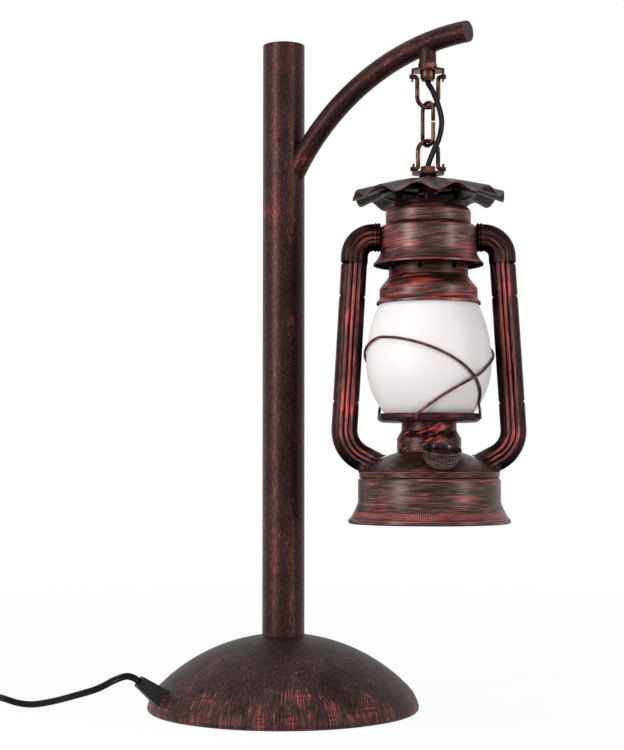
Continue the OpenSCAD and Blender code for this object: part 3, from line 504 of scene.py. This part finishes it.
def tubeSection(z, onLeg):
    t, w = tubeSet, tubeSet["wear"]
    leg = 1 / (1 + exp((z - t["elbowEnd"]) / t["elbowBlend"])) if onLeg else 0
    crimp = max(exp(-((z - c) / t["crimpHalf"])**2) for c in t["crimps"]) * leg
    notch = exp(-((z - t["elbowEnd"] + t["notchBelow"]) / t["notchHalf"])**2) if onLeg else 0
    proud = t["elbowProud"] * (1 - leg)
    pressed = t["elbowGroove"] + (1 - t["elbowGroove"]) * leg
    caught = w["elbowShare"] + (1 - w["elbowShare"]) * leg
    (outer, inner), blend = t["body"], t["stepBlend"]
    ring = []
    for a in roundTurn(t["around"]):
        f = cos(a)
        bulge = max(0, 1 - abs(f)**t["roundness"])**0.5
        inside = 1 / (1 + exp((f - outer) / blend)) / (1 + exp((inner - f) / blend))
        groove = max(exp(-((f - g) / t["grooveHalf"])**2) for g in t["grooves"])
        tall = (t["depth"] / 2 + proud) * bulge
        step = min(t["stepMost"] * tall, t["step"] * (1 - inside)) * leg
        tall -= step + t["grooveDeep"] * groove * pressed
        edge = abs(f)**t["edgeSharp"]
        across = t["width"] / 2 + proud - t["crimpDeep"] * crimp * edge
        across -= t["notch"] * notch * edge * (f > 0)
        rib = max(red * exp(-((f - at) / half)**4) for at, half, red in t["ribs"])
        red = rib + w["edge"] * abs(f)**w["edgeSharp"] - w["groove"] * groove
        red -= w["step"] * (1 - inside) * (abs(f) < w["stepEnd"])
        wear = red * caught - w["elbow"] * (1 - leg) - w["notch"] * notch * (f > 0)
        ring.append((across * f, tall if sin(a) >= 0 else -tall, wear))
    return ring


def addSideTube(name, node, way):
    t = tubeSet
    stations = tubeStations()
    count = t["around"]
    rings, runs, wear, run = [], [], [], 0
    for i, (x, z, nx, nz) in enumerate(stations):
        run += sqrt((x - stations[i - 1][0])**2 + (z - stations[i - 1][1])**2) if i else 0
        section = tubeSection(z, x > t["topX"] - t["legInner"])
        swell = 1 + t["collarHigh"] * max(exp(-((x - c) / t["collarHalf"])**4) for c in t["collars"])
        rings.append([Vector((x + a * swell * nx, b * swell, z + a * swell * nz))
                      for a, b, _ in section])
        wear += [w for _, _, w in section]
        runs.append(run)
    for p in rings[0]:  # the first ring lies on the hood
        p.x = sqrt((t["hoodRadius"] + t["gap"])**2 - min(p.y**2, t["hoodRadius"]**2))
    aim = Vector((-sin(radians(t["lowTurn"])), 0, -cos(radians(t["lowTurn"]))))
    centre = Vector((0, 0, t["tankCentre"]))
    middle = sum(rings[-1], Vector()) / count
    dome = t["tankRadius"] + t["gap"]
    onDome = []
    for p in rings[-1]:  # straight on down to the tank's dome
        c = p - centre
        b = c.dot(aim)
        onDome.append(p + aim * (-b - sqrt(max(0, b * b - c.dot(c) + dome**2))))
    spread = [(p - middle).normalized() * t["foot"] for p in rings[-1]]
    lip = [p - aim * t["lip"] for p in onDome]
    rings += [lip, [p + s for p, s in zip(lip, spread)], [p + s for p, s in zip(onDome, spread)]]
    runs += [run + more for more in t["footRuns"]]
    wear += [0.0] * count + [t["wear"]["foot"]] * 2 * count
    points = [lanternAt + Vector((way * p.x, way * p.y, p.z)) * mm for ring in rings for p in ring]
    edge = t["width"] * pi / count
    lay = [(r * mm, j * edge * mm, 0) for r in runs for j in range(count)]
    tube = meshPiece(name, points, ringFaces(len(rings), count), lay, wear)
    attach(tube, "lantern")
    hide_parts(node)
    return tube


sideTubes = [addSideTube("sideTubeRight", "side_tube_right", 1),
             addSideTube("sideTubeLeft", "side_tube_left", -1)]
print("side tubes bent")


# Guard wires: two loops that cross in front of and behind the globe.

guardSet = {
    "wire": 2, "sides": 12, "steps": 160, "tail": 3,
    "peak": -145, "near": 124, "far": 143, "overAt": -85.5, "overHalf": 13,  # degrees
    "low": 77.3, "rise": 54.4, "nearBend": 0.8, "farBend": 1.3, "over": 2.4,
    "plateRadius": 36.8, "plateGap": 0.05,
    "globeRadius": 45, "globeMid": 115, "globeUp": 100, "globeLow": 56, "globeGap": 0.2,
}


def globeRadius(z):
    g = guardSet
    bend = g["globeUp"] if z > g["globeMid"] else g["globeLow"]
    return g["globeRadius"] - bend + sqrt(bend**2 - (z - g["globeMid"])**2)


def guardPoint(d, z, turn):
    g = guardSet
    a = radians(g["peak"] + d + turn)
    # the upper wire rides over the lower one
    lift = g["over"] * exp(-((d - g["overAt"]) / g["overHalf"])**2)
    half = g["wire"] / 2
    r = max(g["plateRadius"] + half + g["plateGap"], globeRadius(z) + half + g["globeGap"]) + lift
    return lanternAt + Vector((r * cos(a), r * sin(a), z)) * mm


def addGuardWire(name, node, turn):
    g = guardSet
    line = [guardPoint(g["near"], g["low"] - g["tail"] + k, turn) for k in range(g["tail"])]
    for k in range(g["steps"] + 1):
        d = g["near"] - (g["near"] + g["far"]) * k / g["steps"]
        if d > 0:
            share = max(0, 1 - (d / g["near"])**2)**g["nearBend"]
        else:
            share = 1 - (-d / g["far"])**g["farBend"]
        line.append(guardPoint(d, g["low"] + g["rise"] * share, turn))
    line += [guardPoint(-g["far"], g["low"] - 1 - k, turn) for k in range(g["tail"])]
    wire = sweep(name, line, roundSection(g["wire"] / 2 * mm, g["sides"]),
                 lambda i: Vector((line[i].x - hang.x, line[i].y - hang.y, 0)))
    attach(wire, "lantern")
    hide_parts(node)
    return wire


guardWires = [addGuardWire("guardWireFront", "guard_wire_a", 0),
              addGuardWire("guardWireBack", "guard_wire_b", 180)]
print("guard wires bent")


# Rubbed paint: black-brown lacquer with red paint dragged over it by a nearly dry brush, so broken
# red strokes follow the brush and every raised edge has caught more of it.
# Painted shade darkens the hollows and creases, and also what lies under overhangs where a reach is given.

paintSet = {
    "coat": "#050303", "coatWarm": "#0e0808", "streak": "#70504d",
    "red": "#e85653", "deepRed": "#ad3a3a",
    # lengths in mm
    "strokeLength": 13, "strokeWidth": 0.45, "patch": 24, "sway": 28, "wander": 3.5, "fan": 75,
    # the hollow reach below is how far painted shade spreads out of creases
    "crossing": (30, 0.8), "domeHigh": 56, "edge": 0.6, "hollowShadeReach": 4, "tickFade": 0.5, "relief": 0.03,
    # pattern scales within a stroke, and how much one pattern adds to another
    "hair": 1.7, "bold": 0.6, "fractal": {"Detail": 3, "Roughness": 0.6},
    "highlightBandShare": 0.1, "thinShare": 0.4, "edgeBreak": -0.3, "strokeStart": 0.68, "strokeSoft": 0.12,
    # values at which each effect begins and is full
    # the first two set where painted shade darkens hollows and undersides
    "open": (0.6, 0.97), "upward": (-0.6, -0.1), "veil": (0.64, 0.84), "turned": (0.83, 0.7),
    "kept": (0.42, 0.54), "tick": (0.1, 0.8), "fullRed": (0.35, 0.65), "shine": (0.3, 0.7),
    "polish": (0.36, 0.66), "dull": (-0.25, 0.1),
    # and what comes of some of them
    "domeFade": (-0.1, 0.2), "tickMost": 0.6, "roughSpread": (-0.06, 0.08), "glossTimes": (0.2, 2.1),
    "dullTimes": (0.4, 1.5),
}
armSet = {"turn": 35, "reach": 166.4, "height": 312.4, "bend": 182.6}


def strokeCoords(tree, way, length, width, slant=0):
    # stretched coordinates for the brush: round, upright, slope, arm or lay
    along, across = perMetre(length), perMetre(width)
    if way == "lay":
        lay = addNode(tree, "Attribute", attribute_name="lay").outputs["Vector"]
        scale = (along, across, across)
        return addNode(tree, "VectorMath", {0: lay, 1: scale}, operation="MULTIPLY").outputs[0], None
    place = addNode(tree, "TexCoord").outputs["Object"]
    sway = addNode(tree, "TexNoise", {"Vector": place, "Scale": perMetre(paintSet["sway"]),
                                      "Detail": 1}).outputs["Color"]
    drift = paintSet["wander"] * mm
    place = addNode(tree, "VectorMath", {0: sway, 1: (drift, drift, drift), 2: place},
                    operation="MULTIPLY_ADD").outputs[0]
    if slant:
        place = addNode(tree, "VectorRotate", {"Vector": place, "Angle": radians(slant)},
                        rotation_type="Y_AXIS").outputs[0]
    if way in ("round", "upright"):
        scale = (along, along, across) if way == "round" else (across, across, along)
        return addNode(tree, "VectorMath", {0: place, 1: scale}, operation="MULTIPLY").outputs[0], None
    second, wide, rate = 1, paintSet["fan"] * across, along  # the dome's strokes fan out from the post
    if way == "arm":  # along its bend, about the bend's middle
        turned = addNode(tree, "VectorRotate", {"Vector": place, "Angle": radians(armSet["turn"])},
                         rotation_type="Z_AXIS").outputs[0]
        middle = (armSet["reach"] * mm, 0, armSet["height"] * mm)
        place = addNode(tree, "VectorMath", {0: turned, 1: middle}, operation="SUBTRACT").outputs[0]
        second, wide, rate = 2, armSet["bend"] * along, across
    split = addNode(tree, "SeparateXYZ", {0: place})
    flat = addNode(tree, "CombineXYZ", {0: split.outputs[0], 1: split.outputs[second]}).outputs[0]
    reach = addNode(tree, "VectorMath", {0: flat}, operation="LENGTH").outputs["Value"]
    turn = addNode(tree, "VectorMath", {0: flat}, operation="NORMALIZE").outputs[0]
    fan = addNode(tree, "VectorMath", {0: turn, "Scale": wide * mm}, operation="SCALE").outputs[0]
    out = addNode(tree, "Math", {0: reach, 1: rate}, operation="MULTIPLY").outputs[0]
    lift = addNode(tree, "CombineXYZ", {2: out}).outputs[0]
    vector = addNode(tree, "VectorMath", {0: fan, 1: lift}, operation="ADD").outputs[0]
    if way == "slope":
        return vector, None
    fourth = addNode(tree, "Math", {0: split.outputs[1], 1: across}, operation="MULTIPLY").outputs[0]
    return vector, fourth


def waveRound(tree, place, count, first=0):
    # count crests round the upright axis, one of them first degrees from the front; also the height
    split = addNode(tree, "SeparateXYZ", {0: place})
    front = addNode(tree, "Math", {0: split.outputs[1], 1: -1.0}, operation="MULTIPLY").outputs[0]
    angle = addNode(tree, "Math", {0: split.outputs[0], 1: front}, operation="ARCTAN2").outputs[0]
    phase = addNode(tree, "Math", {0: angle, 1: count, 2: -count * radians(first)},
                    operation="MULTIPLY_ADD").outputs[0]
    return addNode(tree, "Math", {0: phase}, operation="COSINE").outputs[0], split.outputs[2]


def milledRing(tree, place, count, low, high):
    # fine upright ticks rolled into the lantern's sheet between two heights
    inLantern = addNode(tree, "VectorMath", {0: place, 1: lanternAt}, operation="SUBTRACT").outputs[0]
    wave, height = waveRound(tree, inLantern, count)
    fade = paintSet["tickFade"]
    spans = ((low * mm, (low + fade) * mm), (high * mm, (high - fade) * mm))
    above, below = [addNode(tree, "MapRange", {"Value": height, **between(span)}).outputs[0]
                    for span in spans]
    level = addNode(tree, "Math", {0: above, 1: below}, operation="MULTIPLY").outputs[0]
    tick = addNode(tree, "MapRange", {
        "Value": wave, **between(paintSet["tick"], 0, paintSet["tickMost"])}).outputs[0]
    return addNode(tree, "Math", {0: tick, 1: level}, operation="MULTIPLY").outputs[0]


def rubbedPaint(name, way, cover=0.5, fine=0.7, edges=1.0, coat=None, warm=None, length=None,
                width=None, rough=0.38, highlightBands=None, streak=None, slant=0, woven=False, worn=False,
                gloss=0.32, clump=0.45, tint="#ffbeb7", reds=None, hollowShadeReach=None, milled=None):
    p, smooth = paintSet, {"interpolation_type": "SMOOTHSTEP"}
    material, tree, shader = newMaterial(name, IOR=1.5, **{"Specular Tint": linear(tint)})
    place = addNode(tree, "TexCoord").outputs["Object"]
    vector, fourth = strokeCoords(tree, way, length or p["strokeLength"],
                                  width or p["strokeWidth"], slant)
    brush = {"Vector": vector, **p["fractal"], **({"W": fourth} if fourth else {})}
    kind = "4D" if fourth else "3D"
    hair, bold = [addNode(tree, "TexNoise", {**brush, "Scale": scale}, noise_dimensions=kind).outputs[0]
                  for scale in (p["hair"], p["bold"])]
    patch = addNode(tree, "TexNoise", {"Vector": place, **p["fractal"],
                                       "Scale": perMetre(p["patch"])}).outputs[0]
    if highlightBands:  # painted highlight: upright bands of more red where the lamps' highlights fall on the post; how many, and one's angle
        wave = waveRound(tree, place, *highlightBands)[0]
        patch = addNode(tree, "Math", {0: wave, 1: p["highlightBandShare"], 2: patch},
                        operation="MULTIPLY_ADD").outputs[0]
    if worn:  # pressed pieces carry their own ribs and hollows
        more = addNode(tree, "Attribute", attribute_name="wear").outputs["Fac"]
        patch = addNode(tree, "Math", {0: patch, 1: more}, operation="ADD").outputs[0]
    if woven:  # a second pass of the brush, round the dome, breaks the first one up
        crossing = strokeCoords(tree, "round", *p["crossing"])[0]
        breaks = addNode(tree, "TexNoise", {"Vector": crossing, "Scale": 1, "Detail": 2}).outputs[0]
        high = addNode(tree, "SeparateXYZ", {0: place}).outputs[2]
        fade = addNode(tree, "MapRange", {
            "Value": high, **between((0, p["domeHigh"] * mm), *p["domeFade"])})
        patch = addNode(tree, "Math", {0: patch, 1: fade.outputs[0]}, operation="SUBTRACT").outputs[0]
    # hollows stay black: partly lacquer the brush missed, partly painted shade in creases and recesses; a
    # reach given here also counts other pieces, so the shade under overhangs is painted too
    clear = addNode(tree, "AmbientOcclusion", {"Distance": (hollowShadeReach or p["hollowShadeReach"]) * mm}, samples=4,
                    only_local=not hollowShadeReach).outputs["AO"]
    raisedUnshaded = addNode(tree, "MapRange", {"Value": clear, **between(p["open"])}, **smooth).outputs[0]
    facing = addNode(tree, "NewGeometry").outputs["Normal"]
    if hollowShadeReach:  # painted shade: what faces down is darkened too
        tilt = addNode(tree, "SeparateXYZ", {0: facing}).outputs[2]
        outOfUndersideShade = addNode(tree, "MapRange", {"Value": tilt, **between(p["upward"])}).outputs[0]
        raisedUnshaded = addNode(tree, "Math", {0: raisedUnshaded, 1: outOfUndersideShade}, operation="MULTIPLY").outputs[0]
    thin = addNode(tree, "Math", {0: patch, 1: p["thinShare"], 2: hair},
                   operation="MULTIPLY_ADD").outputs[0]
    rubbed = addNode(tree, "MapRange", {"Value": thin, **between(p["veil"], 0, fine)},
                     **smooth).outputs[0]
    thick = addNode(tree, "Math", {0: patch, 1: clump, 2: bold}, operation="MULTIPLY_ADD").outputs[0]
    start = p["strokeStart"] + 0.5 * clump - 0.25 * cover
    stroke = addNode(tree, "MapRange", {"Value": thick, **between((start, start + p["strokeSoft"]))},
                     **smooth).outputs[0]
    if woven:
        kept = addNode(tree, "MapRange", {"Value": breaks, **between(p["kept"])}).outputs[0]
        stroke = addNode(tree, "Math", {0: stroke, 1: kept}, operation="MULTIPLY").outputs[0]
    bevel = addNode(tree, "Bevel", {"Radius": p["edge"] * mm}, samples=4).outputs[0]
    bend = addNode(tree, "VectorMath", {0: bevel, 1: facing}, operation="DOT_PRODUCT").outputs["Value"]
    rub = addNode(tree, "Math", {0: hair, 1: p["edgeBreak"], 2: bend},
                  operation="MULTIPLY_ADD").outputs[0]
    edge = addNode(tree, "MapRange", {"Value": rub, **between(p["turned"], 0, edges)},
                   **smooth).outputs[0]
    if milled:  # how many ticks, their lowest and highest point
        ticks = milledRing(tree, place, *milled)
        stroke = addNode(tree, "Math", {0: stroke, 1: ticks}, operation="MAXIMUM").outputs[0]
    most = addNode(tree, "Math", {0: stroke, 1: edge}, operation="MAXIMUM").outputs[0]
    red = addNode(tree, "Math", {0: most, 1: raisedUnshaded}, operation="MULTIPLY").outputs[0]
    veil = addNode(tree, "Math", {0: rubbed, 1: raisedUnshaded}, operation="MULTIPLY").outputs[0]
    dark, lighter = linear(coat or p["coat"]), linear(warm or p["coatWarm"])
    base = addNode(tree, "Mix", {0: patch, 6: dark, 7: lighter}, data_type="RGBA").outputs[2]
    under = addNode(tree, "Mix", {0: veil, 6: base, 7: linear(streak or p["streak"])},
                    data_type="RGBA").outputs[2]
    full = addNode(tree, "MapRange", {"Value": hair, **between(p["fullRed"])}).outputs[0]
    deep, bright = [linear(tone) for tone in reds or (p["deepRed"], p["red"])]
    tone = addNode(tree, "Mix", {0: full, 6: deep, 7: bright}, data_type="RGBA").outputs[2]
    colour = addNode(tree, "Mix", {0: red, 6: under, 7: tone}, data_type="RGBA").outputs[2]
    shine = addNode(tree, "MapRange", {
        "Value": hair, **between(p["shine"], *(rough + more for more in p["roughSpread"]))})
    polish = addNode(tree, "MapRange", {
        "Value": hair, **between(p["polish"], *(gloss * times for times in p["glossTimes"]))})
    # painted shade also dims the shine in hollows and under overhangs
    level = addNode(tree, "Math", {0: polish.outputs[0], 1: raisedUnshaded}, operation="MULTIPLY").outputs[0]
    if worn:
        dull = addNode(tree, "MapRange", {"Value": more, **between(p["dull"], *p["dullTimes"])}).outputs[0]
        level = addNode(tree, "Math", {0: level, 1: dull}, operation="MULTIPLY").outputs[0]
    bump = addNode(tree, "Bump", {"Strength": 0.7, "Distance": p["relief"] * mm, "Height": thin,
                                  "Normal": bevel}).outputs[0]
    tree.links.new(colour, shader.inputs["Base Color"])
    tree.links.new(shine.outputs[0], shader.inputs["Roughness"])
    tree.links.new(level, shader.inputs["Specular IOR Level"])
    tree.links.new(bump, shader.inputs["Normal"])
    return material


# Antique copper: plated, blackened and rubbed back, so high spots shine and hollows stay brown.

def antiqueCopper():
    material, tree, shader = newMaterial("antiqueCopper", Metallic=1.0)
    place = addNode(tree, "TexCoord").outputs["Object"]
    cloud = addNode(tree, "TexNoise", {"Vector": place, "Scale": perMetre(5), "Detail": 4}).outputs[0]
    tone = addNode(tree, "ValToRGB", {0: cloud})
    stops = ((0.36, "#190f0b"), (0.62, "#573a2e"))
    for element, (position, colour) in zip(tone.color_ramp.elements, stops):
        element.position, element.color = position, linear(colour)
    tree.links.new(tone.outputs[0], shader.inputs["Base Color"])
    shine = addNode(tree, "MapRange", {"Value": cloud, "To Min": 0.55, "To Max": 0.25}).outputs[0]
    tree.links.new(shine, shader.inputs["Roughness"])
    scuff = addNode(tree, "TexNoise", {"Vector": place, "Scale": perMetre(0.7), "Detail": 2}).outputs[0]
    bump = addNode(tree, "Bump", {"Strength": 0.25, "Distance": 0.05 * mm, "Height": scuff}).outputs[0]
    tree.links.new(bump, shader.inputs["Normal"])
    return material


# Moulded plastics: a spark-eroded mould leaves a fine grain, drawn coarser here so that it shows.

def mouldedPlastic(name, colour, grain, rough, depth, gloss, ribs=None):
    material, tree, shader, place, cloud = cloudedMaterial(
        name, linear(colour, 0.7), linear(colour), 30, 2, IOR=1.5, **{"Specular IOR Level": gloss})
    shine = addNode(tree, "MapRange", {"Value": cloud, "To Min": rough - 0.06, "To Max": rough + 0.06})
    tree.links.new(shine.outputs[0], shader.inputs["Roughness"])
    fine = addNode(tree, "TexNoise", {"Vector": place, "Scale": perMetre(grain), "Detail": 3}).outputs[0]
    bump = addNode(tree, "Bump", {"Strength": 0.4, "Distance": depth * mm, "Height": fine}).outputs[0]
    if ribs:  # moulded ribs across an axis: its direction and their pitch
        axis, rate = ribs[0], 2 * pi * perMetre(ribs[1])
        along = addNode(tree, "VectorMath", {0: place, 1: axis},
                        operation="DOT_PRODUCT").outputs["Value"]
        phase = addNode(tree, "Math", {0: along, 1: rate}, operation="MULTIPLY").outputs[0]
        wave = addNode(tree, "Math", {0: phase}, operation="SINE").outputs[0]
        bump = addNode(tree, "Bump", {"Strength": 0.8, "Distance": 0.3 * mm, "Height": wave,
                                      "Normal": bump}).outputs[0]
    tree.links.new(bump, shader.inputs["Normal"])
    return material


# Plain metals, out of sight and on the plug: zinc and nickel plate, which stay bright and faintly
# clouded, and iron with the grey, sandy skin of its mould.

def plainMetal(name, dark, light, grain, rough, depth):
    material, tree, shader, _, cloud = cloudedMaterial(
        name, linear(dark), linear(light), grain, 4, Metallic=1.0, Roughness=rough)
    bump = addNode(tree, "Bump", {"Strength": 0.3, "Distance": depth * mm, "Height": cloud}).outputs[0]
    tree.links.new(bump, shader.inputs["Normal"])
    return material


# Felt: matted wool, a fuzzy black with no shine.

def woolFelt():
    material, tree, shader, _, fibre = cloudedMaterial(
        "woolFelt", linear("#101011"), linear("#2a2a2c"), 0.8, 6, Roughness=0.95,
        **{"Sheen Weight": 0.4})
    bump = addNode(tree, "Bump", {"Strength": 0.8, "Distance": 0.3 * mm, "Height": fibre}).outputs[0]
    tree.links.new(bump, shader.inputs["Normal"])
    return material


# Frosted opal glass: white flashed glass, etched matt, so light spreads in it and nothing shows through.

def frostedOpal(name, tint, through):
    material, tree, shader, place, _ = cloudedMaterial(
        name, linear(tint, 0.97), linear(tint), 25, 2, IOR=1.5, Roughness=0.5, **{
            "Transmission Weight": through, "Subsurface Weight": 0.12,
            "Subsurface Radius": (0.01, 0.0095, 0.009), "Subsurface Scale": 1.0})
    etch = addNode(tree, "TexNoise", {"Vector": place, "Scale": perMetre(0.5), "Detail": 2}).outputs[0]
    blown = addNode(tree, "Bevel", {"Radius": 5 * mm}, samples=8).outputs[0]
    bump = addNode(tree, "Bump", {"Strength": 0.15, "Distance": 0.02 * mm, "Height": etch,
                                  "Normal": blown}).outputs[0]
    tree.links.new(bump, shader.inputs["Normal"])
    return material


# Steatite: pressed and fired ceramic, off-white with a slight speckle.

def firedSteatite():
    return cloudedMaterial("firedSteatite", linear("#cdc6ba"), linear("#e4dfd6"), 1.5, 3,
                           Roughness=0.4, IOR=1.55)[0]


quietReds = ("#6d2a2a", "#b04a44")
drumPaint = rubbedPaint("rubbedPaintHood", "round", cover=0.46, fine=0.3, length=23, width=0.42, slant=5,
                        streak="#554340", gloss=0.6, tint="#ffd2c8", hollowShadeReach=10)
# painted shade: the chimney's long reach counts the hood too, so its neck under the brim is darkened
chimneyPaint = rubbedPaint("rubbedPaintChimney", "round", cover=0.52, fine=0.3, length=22, width=0.45,
                           slant=3, streak="#5c4340", gloss=0.55, tint="#ffcdc3", hollowShadeReach=18)
tankPaint = rubbedPaint("rubbedPaintTank", "round", cover=0.3, fine=0.3, length=24, width=0.4, slant=1,
                        streak="#50403d", gloss=0.44, tint="#ffd8ce", milled=(230, 4.5, 8.6))
tankTopPaint = rubbedPaint("rubbedPaintTankTop", "round", cover=0.0, fine=0.2)
burnerPaint = rubbedPaint("rubbedPaintBurner", "round", cover=0.5, fine=0.2, length=9, width=1.1,
                          slant=24, clump=0.8)
darkPaint = rubbedPaint("rubbedPaintDark", "round", cover=0.0, fine=0.1, edges=0.3, gloss=0.2)
# painted shade: the crown and the bead on its brim stay near black, with hardly any shine or red, for the
# shade under the ruffled cap
crownShadePaint = rubbedPaint("rubbedPaintCrownShade", "round", cover=0.0, fine=0.1, edges=0.1, gloss=0.06,
                         reds=("#3a1a1a", "#5c2a28"))
fillerPaint = rubbedPaint("rubbedPaintFiller", "round", cover=0.0, fine=0.2, edges=0.6, warm="#0b0a0b",
                          rough=0.22, gloss=0.45, tint="#f6f3ff", reds=("#7a3a34", "#b5605a"))
# the thread rings' pale edge tones are partly worn paint and partly a painted highlight
threadPaintAndGlint = rubbedPaint("rubbedPaintThreadGlint", "round", cover=0.1, fine=0.4, rough=0.25, gloss=0.9,
                          tint="#ffe4d8", reds=("#7a4a40", "#b57a6a"))
domePaint = rubbedPaint("rubbedPaintDome", "slope", cover=0.36, fine=0.4, edges=0.3, coat="#0f0b0b",
                        warm="#1a1315", streak="#5a4442", length=5.5, width=0.4, rough=0.5, woven=True,
                        gloss=0.2, clump=0.6, reds=("#8a3a36", "#cc5f55"))
# the post's red bands are a painted highlight, set round its two highlights
postPaint = rubbedPaint("rubbedPaintPost", "upright", cover=0.15, fine=0.3, edges=0.5, coat="#120b0c",
                        warm="#221718", streak="#5b3a39", length=5, width=0.45, highlightBands=(8, -24),
                        gloss=0.2, clump=0.6, reds=quietReds)
armPaint = rubbedPaint("rubbedPaintArm", "arm", cover=0.12, fine=0.25, edges=0.5, coat="#0b0606",
                       warm="#150c0d", streak="#5b3335", length=5, width=0.45, gloss=0.15, clump=0.6,
                       reds=quietReds)
tubePaint = rubbedPaint("rubbedPaintTube", "lay", cover=0.4, fine=0.5, length=18, width=0.45, worn=True,
                        hollowShadeReach=7)
capPaint = rubbedPaint("rubbedPaintCap", "lay", cover=0.0, fine=0.14, gloss=0.3, tint="#ffe8ec")
wirePaint = rubbedPaint("rubbedPaintWire", "lay", cover=0.3, edges=0.0, length=6, width=0.8)
copper = antiqueCopper()
sheath = mouldedPlastic("pvcSheath", "#08080a", 1.2, 0.3, 0.008, 0.1)
blackAbs = mouldedPlastic("mouldedAbs", "#111112", 0.5, 0.42, 0.03, 0.2)
ribbedPvc = mouldedPlastic("ribbedPvc", "#151314", 0.5, 0.5, 0.03, 0.2, ribs=(glandAxis(), 1.8))
zinc = plainMetal("zincPlate", "#8d8a84", "#b3b0a8", 6, 0.42, 0.03)
nickel = plainMetal("nickelPlate", "#b4b0a6", "#d2cec4", 8, 0.22, 0.01)
castIron = plainMetal("castIron", "#2f2f30", "#474748", 2, 0.7, 0.3)
felt = woolFelt()
opal = frostedOpal("frostedOpal", "#e4dfde", 0.08)
bulbGlass = frostedOpal("bulbOpal", "#f2efe8", 0.2)
steatite = firedSteatite()
print("materials mixed")

finishes = {
    domePaint: ("base_dome",),
    postPaint: ("post_tube", "post_cap", "arm_boss", "arm_end_cap"),
    armPaint: ("arm_tube",),
    drumPaint: ("hood",),
    chimneyPaint: ("chimney",),
    burnerPaint: ("burner",),
    darkPaint: ("cap_collar", "globe_plate", "tank_bottom"),
    crownShadePaint: ("crown",),
    fillerPaint: ("filler_cap",),
    threadPaintAndGlint: ("filler_neck",),
    tankTopPaint: ("tank_top",),
    tankPaint: ("tank_body",),
    copper: ("hanger_pipe", "hanger_nut", "hanger_plate", "upper_bail", "chain_link", "lower_bail",
             "lower_plate", "lower_nut", "lantern_pipe", "crown_nut", "hanger_bush"),
    zinc: ("base_stud", "base_washer", "base_nut", "post_foot", "base_plate"),
    castIron: ("base_weight",),
    felt: ("base_pad",),
    ribbedPvc: ("cord_gland",),
    blackAbs: ("switch_body", "switch_rocker", "plug_body"),
    sheath: ("inner_lead",),
    nickel: ("plug_pins",),
    opal: ("globe",),
    bulbGlass: ("bulb",),
    steatite: ("lamp_holder",),
}
for material, names in finishes.items():
    for name in names:
        nodes[name].data.materials.clear()
        nodes[name].data.materials.append(material)
for pieces, material in (([mainsCord, coilTie] + chainLeads, sheath), ([ruffledCap], capPaint),
                         (sideTubes, tubePaint), (guardWires, wirePaint), ([crownRim], crownShadePaint)):
    for piece in pieces:
        piece.data.materials.append(material)
print("finishes given to", len(nodes), "nodes")


# Floor, world and lamps: a white studio with an upright strip box on each side and a small box above.

studioSet = {
    "floorHalf": 40,  # metres
    "floorTone": "#ffffff",
    "floorWhite": 0.94,  # share of plain white in what is seen of the floor near the lamp
    "fadeStart": 350, "fadeEnd": 1600,  # mm from the post, where the floor turns all white
    "bounce": "#b8b8b8",  # the floor as the rest of the scene feels it
    "worldFill": 0.33,
    "aim": (50, 0, 250),  # mm
    "lamps": (  # name, place in mm, size in mm, watts
        ("leftBox", (-1080, -1000, 480), (330, 860), 20),
        ("rightBox", (1290, -1000, 445), (150, 870), 12),
        ("topBox", (-200, -350, 1450), (440, 440), 5),
    ),
}


def seenShare(tree):
    # 1 for rays from the camera, from a reflection or through glass, 0 for scattered light
    path = addNode(tree, "LightPath").outputs
    direct = addNode(tree, "Math", {0: path["Is Camera Ray"], 1: path["Is Glossy Ray"]},
                     operation="MAXIMUM").outputs[0]
    return addNode(tree, "Math", {0: direct, 1: path["Is Transmission Ray"]},
                   operation="MAXIMUM").outputs[0]


def addFloor():
    s = studioSet
    half = s["floorHalf"]
    corners = [(-half, -half, 0), (half, -half, 0), (half, half, 0), (-half, half, 0)]
    floor = meshPiece("studioFloor", corners, [(0, 1, 2, 3)])
    material, tree, shader = newMaterial("paleFloor", Roughness=0.9)
    seen = seenShare(tree)
    white = addNode(tree, "Emission", {"Color": (1, 1, 1, 1), "Strength": 1.0})
    place = addNode(tree, "TexCoord").outputs["Object"]
    away = addNode(tree, "VectorMath", {0: place}, operation="LENGTH").outputs["Value"]
    reach = (s["fadeStart"] * mm, s["fadeEnd"] * mm)
    fade = addNode(tree, "MapRange", {"Value": away, **between(reach, s["floorWhite"], 1)},
                   interpolation_type="SMOOTHSTEP").outputs[0]
    share = addNode(tree, "Math", {0: seen, 1: fade}, operation="MULTIPLY").outputs[0]
    tone = addNode(tree, "Mix", {0: seen, 6: linear(s["bounce"]), 7: linear(s["floorTone"])},
                   data_type="RGBA").outputs[2]
    tree.links.new(tone, shader.inputs["Base Color"])
    mixed = addNode(tree, "MixShader", {0: share, 1: shader.outputs[0], 2: white.outputs[0]})
    tree.links.new(mixed.outputs[0], tree.nodes["Material Output"].inputs["Surface"])
    floor.data.materials.append(material)


def addWorld():
    world = bpy.data.worlds.new("whiteStudio")
    world.use_nodes = True
    tree = world.node_tree
    strength = addNode(tree, "MapRange", {"Value": seenShare(tree), "To Min": studioSet["worldFill"],
                                          "To Max": 1.0}).outputs[0]
    tree.nodes["Background"].inputs["Color"].default_value = (1, 1, 1, 1)
    tree.links.new(strength, tree.nodes["Background"].inputs["Strength"])
    scene.world = world


def addLamps():
    aim = Vector(studioSet["aim"]) * mm
    for name, place, size, watts in studioSet["lamps"]:
        data = bpy.data.lights.new(name, "AREA")
        data.shape, data.size, data.size_y, data.energy = "RECTANGLE", size[0] * mm, size[1] * mm, watts
        lamp = bpy.data.objects.new(name, data)
        lamp.location = Vector(place) * mm
        lamp.rotation_euler = (aim - lamp.location).to_track_quat("-Z", "Y").to_euler()
        scene.collection.objects.link(lamp)


addFloor()
addWorld()
addLamps()
scene.view_settings.view_transform = "Standard"
print("studio lit")
